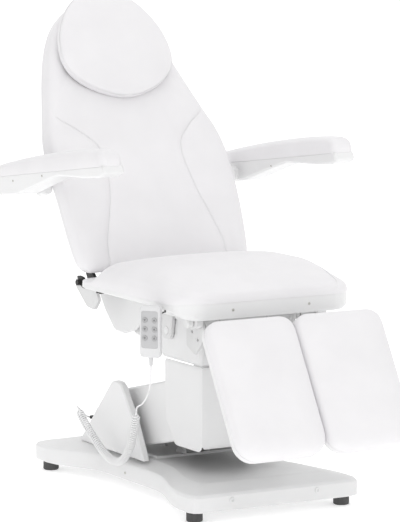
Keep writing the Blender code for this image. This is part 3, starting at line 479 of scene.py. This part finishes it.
def dome(d, reach):
    """0 at the edge, 1 from reach inwards, round in between."""
    x = min(1.0, max(0.0, d / reach))
    return math.sqrt(max(0.0, 1 - (1 - x) ** 2))


def stitches(name, body, line, lift, pitch=0.0062, size=0.0007):
    """Row of short threads laid along a seam on a pad's surface."""
    pts = resample(line, pitch)
    bm = bmesh.new()
    for here, after in zip(pts, pts[1:]):
        step = after - here
        tube(bm, [here + step * 0.16 + lift * 0.2, here + step * 0.3 + lift,
                  here + step * 0.7 + lift, here + step * 0.84 + lift * 0.2],
             [size * 0.6, size, size, size * 0.6], 5)
    return piece(bm, name, "thread", body)


def beads(values):
    """Interpolator through (s, value) pairs, with smooth joins."""
    path = smooth_path(values, 8)
    xs, ys = [p.x for p in path], [p.y for p in path]
    return lambda s: float(np.interp(s, xs, ys))


SEWN = [(0.16, 0, 0), (0.33, 0, 0), (0.5, 0, 0), (0.67, 0, 0), (0.82, 0, 0), (0.93, 0, 0),
        (1, 0, -0.0045), (1, 0, 0), (1, 0, 0.0045), (1, 0.16, 0), (1, 0.32, 0), (1, 0.48, 0),
        (1, 0.62, 0), (1, 0.74, 0), (1, 0.84, 0), (1, 0.92, 0), (1, 0.97, 0), (1, 1, 0)]
PLAIN = [(0.5, 0, 0), (0.99, 0, 0), (1, 0.3, 0), (1, 0.5, 0), (1, 0.66, 0), (1, 0.8, 0),
         (1, 0.9, 0), (1, 0.96, 0), (1, 1, 0)]

# back
SPINE = [(0.074, 0.645), (0.099, 0.705), (0.137, 0.785), (0.176, 0.862), (0.238, 0.964),
         (0.315, 1.067), (0.392, 1.172), (0.455, 1.265), (0.520, 1.366), (0.562, 1.434)]
SPINE_PATH = smooth_path(SPINE, 20)
SPINE_RUN = run_of(SPINE_PATH)
BACK_HALF = [(0.262, 0.0), (0.280, 0.02), (0.291, 0.10), (0.298, 0.22), (0.301, 0.34),
             (0.292, 0.43), (0.272, 0.50), (0.250, 0.57), (0.228, 0.64), (0.207, 0.70),
             (0.180, 0.76), (0.148, 0.81), (0.112, 0.845), (0.070, 0.868), (0.026, 0.8815)]
BACK_SCALE = SPINE_RUN[-1] / 0.882


def spine_at(s):
    """Point on the back's front line and the direction out of its face."""
    def point(x):
        return Vector((float(np.interp(x, SPINE_RUN, [p.x for p in SPINE_PATH])),
                       float(np.interp(x, SPINE_RUN, [p.y for p in SPINE_PATH]))))
    reach = 0.03
    along = (point(min(s + reach, SPINE_RUN[-1])) - point(max(s - reach, 0.0))).normalized()
    here = point(s)
    if s > SPINE_RUN[-1]:
        here += along * (s - SPINE_RUN[-1])
    return here, Vector((-along.y, along.x))


def back_place(a, s, h):
    s -= 0.40 * h * max(0.0, 1 - s / 0.15)
    here, out = spine_at(s)
    return (a, here.x + out.x * h, here.y + out.y * h)


def build_back():
    side = [(w, s * BACK_SCALE) for w, s in BACK_HALF]
    side = [(p.x, p.y) for p in smooth_path(side, 8)]
    seam = beads([(0.0, 0.203), (0.068, 0.200), (0.104, 0.194), (0.182, 0.170), (0.249, 0.150),
                  (0.348, 0.135), (0.400, 0.140), (0.431, 0.155), (0.478, 0.200), (0.520, 0.250),
                  (0.560, 0.245), (0.70, 0.150), (0.90, 0.05)])
    fade = 0.522

    def face(a, s, d):
        middle = seam(s)
        crown = 0.004 * max(0.0, 1 - (a / max(middle, 0.05)) ** 2)
        rolled = 0.024 * (1 - dome(d, 0.036))
        groove = dip(abs(a) - middle, 0.004, 0.0042) * ease((fade + 0.012 - s) / 0.02)
        side_puff = 0.0035 * ease((abs(a) - middle) / 0.03) * ease((fade + 0.02 - s) / 0.1)
        return 0.001 + crown + side_puff - rolled - groove

    ob = pad("back_upholstery", "back", "back_cushion", side, seam, SEWN, face,
             [(0.0012, -0.031), (0.0018, -0.040), (0.0016, -0.0485), (-0.0006, -0.0502),
              (0.0016, -0.052), (0.0018, -0.0590), (0.0018, -0.0648), (0.0005, -0.0656),
              (-0.004, -0.0622), (-0.010, -0.0620)],
             back_place, puff=(2.2, 0.006))
    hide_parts("back_cushion")

    for name, sign in (("left", 1), ("right", -1)):
        line = [back_place(sign * seam(s), s, -0.0014) for s in np.linspace(0.02, fade, 60)]
        stitches("back_stitches_" + name, "back", line, Vector((0, -0.0006, 0.0003)))

    # moulded rear shell, one smooth skin with a raised centre field
    def rear(a, s, d):
        field = 0.004 * ease((min(d, 0.12) - 0.075) / 0.010)
        return -(0.0645 + 0.0235 * dome(d, 0.040) + field - 0.002)

    shell = pad("back_shell_skin", "back", "back_shell", side, lambda s: 0.14, SEWN, rear,
                [(0.0, -0.0655), (-0.001, -0.0645), (-0.004, -0.0645)], back_place)
    shell.data.materials[0] = MAT["shell"]
    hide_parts("back_shell")


def head_place(a, v, h):
    lean = math.radians(32.0)
    up, out = (math.sin(lean), math.cos(lean)), (-math.cos(lean), math.sin(lean))
    return (a, 0.100 + up[0] * v + out[0] * h, 0.673 + up[1] * v + out[1] * h)


def build_head():
    half = [(0.012, 0.5303), (0.035, 0.533), (0.068, 0.543), (0.100, 0.556), (0.130, 0.574),
            (0.158, 0.598), (0.178, 0.626), (0.188, 0.660), (0.188, 0.695), (0.181, 0.735),
            (0.166, 0.775), (0.143, 0.815), (0.110, 0.853), (0.078, 0.877), (0.040, 0.892),
            (0.012, 0.8966)]
    side = [(p.x, p.y) for p in smooth_path(half, 8)]

    def face(a, v, d):
        crown = 0.0035 * max(0.0, 1 - (a / 0.19) ** 2 - ((v - 0.71) / 0.19) ** 2)
        return 0.0515 + 0.0115 * dome(d, 0.045) + crown

    ob = pad("head_pillow", "head", "head_cushion", side, lambda v: 0.06, PLAIN, face,
             [(-0.0012, 0.0500), (0.0012, 0.0488), (0.0022, 0.0455), (0.0024, 0.0410),
              (0.0016, 0.0350), (-0.0012, 0.0300), (-0.006, 0.0262), (-0.013, 0.0246)],
             head_place, step=0.015, puff=(1.6, 0.004))
    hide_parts("head_cushion")
    ring = [head_place(a * 1.003, 0.7135 + (v - 0.7135) * 1.003, 0.0498)
            for a, v in side + [(-a, v) for a, v in reversed(side)]]
    stitches("head_stitches", "head", ring, Vector((0, -0.0003, 0.0002)))


# seat
SEAT_X, SEAT_YF, SEAT_YR = 0.288, -0.515, 0.125
SEAT_CORNER_F, SEAT_CORNER_R = 0.078, 0.030
TRAY_Z1 = 0.617
CUSHION_GAP = 0.0018


def arc(cx, cy, radius, start, end, steps=8):
    return [(cx + radius * math.cos(math.radians(start + (end - start) * k / steps)),
             cy + radius * math.sin(math.radians(start + (end - start) * k / steps)))
            for k in range(steps + 1)]


def seat_low(s):
    return TRAY_Z1 + CUSHION_GAP + 0.008 * ease((-0.400 - s) / 0.10)


def build_seat():
    front, rear = SEAT_CORNER_F, SEAT_CORNER_R
    side = (arc(SEAT_X - front, SEAT_YF + front, front, -90, 0)
            + arc(SEAT_X - rear, SEAT_YR - rear, rear, 0, 90))
    seam = beads([(-0.560, 0.200), (-0.515, 0.222), (-0.470, 0.240), (-0.400, 0.258),
                  (-0.320, 0.264), (-0.237, 0.256), (-0.164, 0.236), (-0.097, 0.217),
                  (-0.010, 0.206), (0.083, 0.203), (0.160, 0.200)])

    def tall(a, s):
        nose, foot = ease((-0.290 - s) / 0.225), ease((s + 0.010) / 0.065)
        high = 0.070 + 0.021 * ease((0.03 - s) / 0.20) - 0.050 * nose
        high -= 0.006 * ease((abs(a) - 0.18) / 0.11)
        return high + (0.014 - high) * foot

    def face(a, s, d):
        full = tall(a, s)
        if s > 0.0:
            d = min(SEAT_X - abs(a), 0.2) if s < 0.11 else d
        deep = 0.0042 if a > 0 else 0.0012
        groove = dip(abs(a) - seam(s), 0.0045, deep) * ease((0.02 - s) / 0.05)
        crown = 0.004 * max(0.0, 1 - (a / seam(s)) ** 2) * ease((0.0 - s) / 0.15)
        return seat_low(s) + full * (0.40 + 0.60 * dome(d, 0.072)) + crown - groove

    def level(share):
        return lambda a, s: seat_low(s) + tall(a, s) * share

    ob = pad("seat_upholstery", "seat", "seat_cushion", side, seam, SEWN, face,
             [(0.0018, level(0.30)), (0.0024, level(0.20)), (0.0022, level(0.10)),
              (0.0020, lambda a, s: seat_low(s) - 0.0032),
              (0.0008, lambda a, s: seat_low(s) - 0.0038), (-0.005, level(0.002)),
              (-0.012, level(0.0))],
             lambda a, s, z: (a, s, z), puff=(2.2, 0.005))
    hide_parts("seat_cushion")
    line = []
    for s in np.linspace(-0.498, -0.01, 70):
        a = seam(s)
        inset = min(SEAT_X - a, s - SEAT_YF + 0.004)
        line.append((a, s, face(a, s, inset) + 0.0012))
    stitches("seat_stitches", "seat", line, Vector((0, 0, 0.0005)))


# legs
def leg_place(a, d, n):
    cos, sin = math.cos(LEG_ANGLE), math.sin(LEG_ANGLE)
    return (a, LEG_PIN[0] - cos * d - sin * n, LEG_PIN[1] - sin * d + cos * n)


def build_legs():
    half = LEG_W / 2
    top, toe = LEG_CORNERS
    side = (arc(half - top, LEG_D0 + top, top, -90, 0)
            + arc(half - toe, LEG_D1 - toe, toe, 0, 90))
    middle = (LEG_D0 + LEG_D1) / 2
    seam = PAD_N + 0.0077

    def face(a, d, e):
        bulge = 1 - (a / 0.16) ** 2 - 0.4 * ((d - 0.28) / 0.24) ** 2
        return PAD_N + 0.026 + (0.019 + 0.009 * bulge) * dome(e, 0.052)

    for name, sign in (("leg_right", -1), ("leg_left", 1)):
        def place(a, d, n, mid=sign * LEG_X):
            return leg_place(a + mid, d, n)
        ob = pad(name + "_upholstery", name + "_pad", name + "_cushion", side,
                 lambda d: 0.05, PLAIN, face,
                 [(0.0020, seam + 0.0123), (0.0026, seam + 0.0058), (0.0018, seam + 0.0014),
                  (0.0, seam), (0.0018, seam - 0.0014), (0.0017, seam - 0.0052),
                  (0.0016, seam - 0.0088), (0.0004, seam - 0.0094),
                  (-0.003, seam - 0.0076), (-0.010, seam - 0.0076)],
                 place, step=0.020, puff=(2.4, 0.006))
        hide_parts(name + "_cushion")
        ring = [place(a * 1.006, middle + (d - middle) * 1.002, seam)
                for a, d in side + [(-a, d) for a, d in reversed(side)]]
        stitches(name + "_stitches", name + "_pad", ring, Vector((0, 0, 0)), 0.0065, 0.0006)


# arm rests
ARM_PAD_START, ARM_PAD_END = Vector((-0.2785, 1.0117)), Vector((0.4405, 0.9139))


def build_arms():
    along = (ARM_PAD_END - ARM_PAD_START).normalized()
    out = Vector((-along.y, along.x))
    length = (ARM_PAD_END - ARM_PAD_START).length
    rise = beads([(0.0, 0.032), (0.020, 0.041), (0.106, 0.0485), (0.275, 0.0495),
                  (0.450, 0.0452), (0.633, 0.0348), (0.700, 0.027), (length, 0.021)])
    half = ARM_W / 2
    side = arc(half - 0.016, 0.016, 0.016, -90, 0, 6) + arc(half - 0.016, length - 0.016,
                                                            0.016, 0, 90, 6)

    def face(a, s, d):
        return rise(s) * (0.52 + 0.48 * dome(d, 0.022)) + 0.0003

    for name, sign in (("arm_right", -1), ("arm_left", 1)):
        def place(a, s, h, mid=sign * ARM_X):
            spot = ARM_PAD_START + along * s + out * h
            return (mid + a, spot.x, spot.y)
        ob = pad(name + "_upholstery", name, name + "_pad", side, lambda s: 0.012, PLAIN, face,
                 [(0.0012, lambda a, s: rise(s) * 0.38), (0.0015, lambda a, s: rise(s) * 0.22),
                  (0.0015, lambda a, s: rise(s) * 0.08), (0.0014, -0.0030), (0.0010, -0.0056),
                  (-0.0004, -0.0060), (-0.004, -0.0010), (-0.009, 0.0005)],
                 place, step=0.016, puff=(2.0, 0.003))
        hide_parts(name + "_pad")


# ---------------------------------------------------------------- control lead
def hs_place(a, b, c):
    """Handset frame: a across its face, b up and c out of its face."""
    cos, sin = math.cos(HS_YAW), math.sin(HS_YAW)
    return Vector((HS_POS[0] + cos * a + sin * c, HS_POS[1] + sin * a - cos * c, HS_POS[2] + b))


def build_cord():
    """Straight lead, long curly stretch round the lift and a short tail.

    One smooth line carries a helix whose radius is nothing on the lead and
    the tail.  It is cut into four pieces.
    """
    sleeve = hs_place(0, -HS_H / 2 - 0.0244, 0)
    lead = [sleeve, sleeve + Vector((0.001, 0.004, -0.035)),
            Vector((-0.312, sleeve.y + 0.040, 0.355)), Vector((-0.288, -0.270, 0.310)),
            Vector((-0.266, -0.196, 0.285))]
    coil = [Vector(p) for p in (
        (-0.2560, -0.172, 0.262), (-0.2500, -0.150, 0.218), (-0.2400, -0.105, 0.150),
        (-0.2340, -0.045, 0.100), (-0.2330, 0.010, 0.088), (-0.2340, 0.070, 0.104),
        (-0.2380, 0.135, 0.145), (-0.2420, 0.190, 0.188), (-0.2380, 0.222, 0.211))]
    tail = [Vector(p) for p in ((-0.224, 0.262, 0.214), (-0.208, 0.272, 0.200),
                                (-0.194, 0.270, 0.184), (-0.1800, 0.2640, 0.1763))]
    line = smooth_path(lead + coil + tail, 24)
    run = run_of(line)
    coil_from, coil_to = run[24 * len(lead)], run[24 * (len(lead) + len(coil) - 1)]
    wide, thick, pitch, per_turn = 0.0102, 0.0050, 0.0078, 14
    turns = (coil_to - coil_from) / pitch
    stations = list(np.arange(0.0, coil_from, 0.006))
    stations += list(np.linspace(coil_from, coil_to, int(turns * per_turn)))
    stations += list(np.linspace(coil_to, run[-1], 22))[1:]
    xyz = [[p[k] for p in line] for k in range(3)]

    def at(x):
        return Vector([float(np.interp(x, run, axis)) for axis in xyz])

    across = Vector((1, 0, 0))
    path, where = [], []
    for x in stations:
        ahead = (at(min(run[-1], x + 0.004)) - at(max(0.0, x - 0.004))).normalized()
        across = (across - ahead * across.dot(ahead)).normalized()
        over = ahead.cross(across)
        inside = min(x - coil_from, coil_to - x)
        radius = wide * ease(inside / 0.016)
        turn = 2 * math.pi * (x - coil_from) / pitch
        path.append(at(x) + (across * math.cos(turn) + over * math.sin(turn)) * radius)
        where.append(x)
    cuts = [0.0, 0.085, coil_from - 0.012, (coil_from + coil_to) / 2, run[-1]]
    chain = [("cord_top", "handset", "seat", 0.012), ("cord_lead_run", "seat", "column", 0.012),
             ("cord_curly_front", "column", "lift_arm", 0.030),
             ("cord_curly_rear", "lift_arm", "base", 0.030)]
    shift = Vector((0, Y0, 0))
    for (name, first, second, margin), low, high in zip(chain, cuts, cuts[1:]):
        picked = [i for i, x in enumerate(where) if low <= x <= high]
        if picked[-1] + 1 < len(path):
            picked.append(picked[-1] + 1)
        points = [path[i] for i in picked]
        bm = bmesh.new()
        tube(bm, points, thick / 2, 8)
        ob = piece(bm, name, "cord", None)
        world = [p + shift for p in points]
        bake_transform(ob)
        tuple(world[0])
        run_of(world)[-1]
        [tuple(p) for p in world]
    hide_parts("cord_lead")
    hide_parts("cord_coil")
    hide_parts("cord_tail")


# ---------------------------------------------------------------- CAD nodes
def dress(names, mat, width=0.0008, smooth_angle=32, steps=2):
    """Material and soft edge highlights for CAD nodes whose shape stays."""
    for name in names:
        ob = NODES[name]
        mesh = ob.data
        if "custom_normal" in mesh.attributes:
            mesh.attributes.remove(mesh.attributes["custom_normal"])
        mesh.polygons.foreach_set("use_smooth", [True] * len(mesh.polygons))
        mesh.materials.clear()
        mesh.materials.append(MAT[mat])
        weld = ob.modifiers.new("weld", "WELD")
        weld.merge_threshold = 0.00001
        flat = ob.modifiers.new("flatten", "DECIMATE")
        flat.decimate_type = "DISSOLVE"
        flat.angle_limit = math.radians(0.4)
        soft = ob.modifiers.new("soft_edge", "BEVEL")
        soft.width = width
        soft.segments = steps
        soft.limit_method = "ANGLE"
        soft.angle_limit = math.radians(smooth_angle)
        soft.harden_normals = False
        even = ob.modifiers.new("even_normals", "WEIGHTED_NORMAL")
        even.mode = "FACE_AREA"
        even.keep_sharp = False


def build_cad_looks():
    dress(["base_cover", "cheek_left", "cheek_right", "lift_arm_cover"], "cover", 0.0012)
    dress(["column_cover", "column_head"], "cover", 0.0080, 40, 4)
    dress(["seat_tray", "seat_skirt", "arm_left_shell", "arm_right_shell", "arm_left_bracket",
           "arm_right_bracket", "leg_left_shell", "leg_right_shell"], "shell", 0.0010)
    dress(["leg_left_carrier", "leg_right_carrier"], "bracket_white", 0.0006)
    dress(["base_frame", "lift_arm_frame"], "bracket_white", 0.0006)
    dress(["column_frame", "lift_actuator_rod", "head_plate"], "steel", 0.0005)
    dress(["seat_frame", "back_frame", "lift_link", "lift_actuator_body", "handset_hook"],
          "dark_steel", 0.0005)
    # the seat frame is white paint except for its two rear hinge plates
    mesh = NODES["seat_frame"].data
    mesh.materials.append(MAT["bracket_white"])
    for face in mesh.polygons:
        face.material_index = int(abs(face.center.x) < 0.25 or face.center.z < 0.590)
    dress(["control_box"], "control", 0.0008)
    dress(["foot_front_left", "foot_front_right", "foot_rear_left", "foot_rear_right"],
          "foot", 0.0006)
    dress(["handset_case"], "handset_body", 0.0005)
    dress(["handset_panel"], "handset_panel", 0.0002)
    dress(["button_%d" % k for k in range(1, 7)], "button", 0.0003)
    dress(["leg_left_knob", "leg_right_knob"], "knob", 0.0006)
    dress(["cord_plug"], "rubber", 0.0003)


# ---------------------------------------------------------------- small fittings
def surface(node, start, way):
    """Where a line from start first meets a CAD node, and which way the face looks."""
    ob = NODES[node]
    spots = [ob.matrix_world @ v.co for v in ob.data.vertices]
    tree = BVHTree.FromPolygons(spots, [tuple(f.vertices) for f in ob.data.polygons])
    at, normal, _, _ = tree.ray_cast(Vector(start) + Vector((0, Y0, 0)), Vector(way))
    if at is None:
        sys.exit("no surface of %s before %s" % (node, tuple(start)))
    if normal.dot(Vector(way)) > 0:
        normal = -normal
    return at - Vector((0, Y0, 0)), normal


def screws(name, body, node, mat, radius, rays):
    bm = bmesh.new()
    for start, way in rays:
        at, normal = surface(node, start, way)
        screw_head(bm, at, normal, radius)
    return piece(bm, name, mat, body, auto=40)


def build_fittings():
    ahead, right, left, down = (0, 1, 0), (1, 0, 0), (-1, 0, 0), (0, 0, -1)
    screws("base_bolts", "base", "base_cover", "cover", 0.0085,
           [((x, -0.9, 0.061), ahead) for x in (-0.153, 0.132)])
    screws("base_side_screws", "base", "base_cover", "bright", 0.0045,
           [((-0.6, -0.009, 0.052), right), ((0.6, -0.009, 0.052), left)])
    screws("fascia_screws", "seat", "seat_tray", "bright", 0.0042,
           [((x, -0.9, 0.603), ahead) for x in (-0.129, 0.125)])
    for name, sign in (("right", -1), ("left", 1)):
        screws("arm_%s_screws" % name, "arm_" + name, "arm_%s_shell" % name, "bright", 0.0036,
               [((sign * 0.7, y, z), (-sign, 0, 0)) for y, z in ((0.286, 0.912), (0.096, 0.945))]
               + [((sign * 0.2, y, z), (sign, 0, 0)) for y, z in ((0.082, 0.935), (0.281, 0.892))])
    # keys: a small arrow on each, pointing up or down
    for k, (a, b) in enumerate(BUTTONS):
        point = 1 if k % 2 else -1
        bm = bmesh.new()
        tip = [(0.0, 0.0042 * point), (-0.0040, -0.0026 * point), (0.0040, -0.0026 * point)]
        low = [bm.verts.new(hs_place(a + x, b + y, HS_T / 2 + 0.0008)) for x, y in tip]
        high = [bm.verts.new(hs_place(a + x, b + y, HS_T / 2 + 0.0013)) for x, y in tip]
        bm.faces.new(low)
        bm.faces.new(high)
        for i in range(3):
            bm.faces.new((low[i], low[(i + 1) % 3], high[(i + 1) % 3], high[i]))
        piece(bm, "key_arrow_%d" % (k + 1), "symbol", "button_%d" % (k + 1), auto=30)
    # ribs of the handset's cord sleeve
    bm = bmesh.new()
    for k in range(5):
        b = -HS_H / 2 - 0.003 - 0.0044 * k
        radius = 0.0066 - 0.00045 * k
        turned(bm, hs_place(0, b, 0), down, [(radius - 0.001, -0.0011), (radius + 0.0010, -0.0006),
                                             (radius + 0.0010, 0.0006), (radius - 0.001, 0.0011)])
    piece(bm, "sleeve_ribs", "handset_body", "handset", auto=40)


# ---------------------------------------------------------------- stage
def build_stage():
    target = Vector((0.0, 0.0133, 0.687))
    azimuth, elevation, distance = math.radians(-29.77), math.radians(7.57), 10.085
    away = Vector((math.sin(azimuth) * math.cos(elevation),
                   -math.cos(azimuth) * math.cos(elevation), math.sin(elevation)))
    data = bpy.data.cameras.new("camera")
    data.sensor_width = 36.0
    data.lens = 234.5
    data.clip_start, data.clip_end = 0.1, 100.0
    camera = bpy.data.objects.new("camera", data)
    camera.location = target + away * distance
    camera.rotation_mode = "QUATERNION"
    camera.rotation_quaternion = (-away).to_track_quat("-Z", "Y")
    SCENE.collection.objects.link(camera)
    SCENE.camera = camera

    world = bpy.data.worlds.new("studio")
    world.use_nodes = True
    tree = world.node_tree
    light = tree.nodes["Background"]
    light.inputs["Color"].default_value = (1, 1, 1, 1)
    # dimmer towards both sides of the view, as between two dark flags
    def maths(operation, *values):
        node = tree.nodes.new("ShaderNodeMath")
        node.operation = operation
        for socket, value in zip(node.inputs, values):
            if isinstance(value, float):
                socket.default_value = value
            else:
                tree.links.new(value, socket)
        return node.outputs[0]

    where = tree.nodes.new("ShaderNodeTexCoord")
    across = tree.nodes.new("ShaderNodeVectorMath")
    across.operation = "DOT_PRODUCT"
    across.inputs[1].default_value = (0.868, -0.496, 0.0)
    tree.links.new(where.outputs["Generated"], across.inputs[0])
    sideways = maths("POWER", maths("ABSOLUTE", across.outputs["Value"]), 2.0)
    tree.links.new(maths("MULTIPLY_ADD", sideways, -0.62, 1.14), light.inputs["Strength"])
    plain = tree.nodes.new("ShaderNodeBackground")
    plain.inputs["Color"].default_value = (1, 1, 1, 1)
    plain.inputs["Strength"].default_value = 1.05
    ray, mix = tree.nodes.new("ShaderNodeLightPath"), tree.nodes.new("ShaderNodeMixShader")
    tree.links.new(ray.outputs["Is Camera Ray"], mix.inputs[0])
    tree.links.new(light.outputs[0], mix.inputs[1])
    tree.links.new(plain.outputs[0], mix.inputs[2])
    tree.links.new(mix.outputs[0], tree.nodes["World Output"].inputs["Surface"])
    SCENE.world = world
    SCENE.view_settings.view_transform = "Standard"
    for name, spot, power, size in (("key", (-2.0, -4.8, 4.6), 18.0, 3.2),
                                    ("fill", (4.2, -3.2, 2.6), 10.0, 3.0),
                                    ("front", (-0.6, -5.2, 0.9), 3.0, 2.4),
                                    ("top", (0.4, 1.6, 5.0), 14.0, 3.0)):
        light = bpy.data.lights.new(name, "AREA")
        light.energy = power
        light.shape = "DISK"
        light.size = size
        lamp = bpy.data.objects.new(name, light)
        lamp.location = spot
        lamp.rotation_mode = "QUATERNION"
        lamp.rotation_quaternion = (Vector((0, 0, 0.6)) - Vector(spot)).to_track_quat("-Z", "Y")
        SCENE.collection.objects.link(lamp)

    bm = bmesh.new()
    bmesh.ops.create_grid(bm, x_segments=1, y_segments=1, size=30.0)
    mesh = bpy.data.meshes.new("floor")
    bm.to_mesh(mesh)
    bm.free()
    mat, tree, bsdf = tree_of("floor_white")
    tree.links.new(tint(tree, noise(tree, 2.0), grey(0.93), grey(0.95)), bsdf.inputs["Base Color"])
    bsdf.inputs["Roughness"].default_value = 0.9
    bsdf.inputs["Specular IOR Level"].default_value = 0.1
    bsdf.inputs["Emission Color"].default_value = (1, 1, 1, 1)
    bsdf.inputs["Emission Strength"].default_value = 0.34
    mesh.materials.append(mat)
    floor = bpy.data.objects.new("floor", mesh)
    SCENE.collection.objects.link(floor)


build_stage()
build_cord()
build_back()
build_head()
build_seat()
build_legs()
build_arms()
build_cad_looks()
build_fittings()
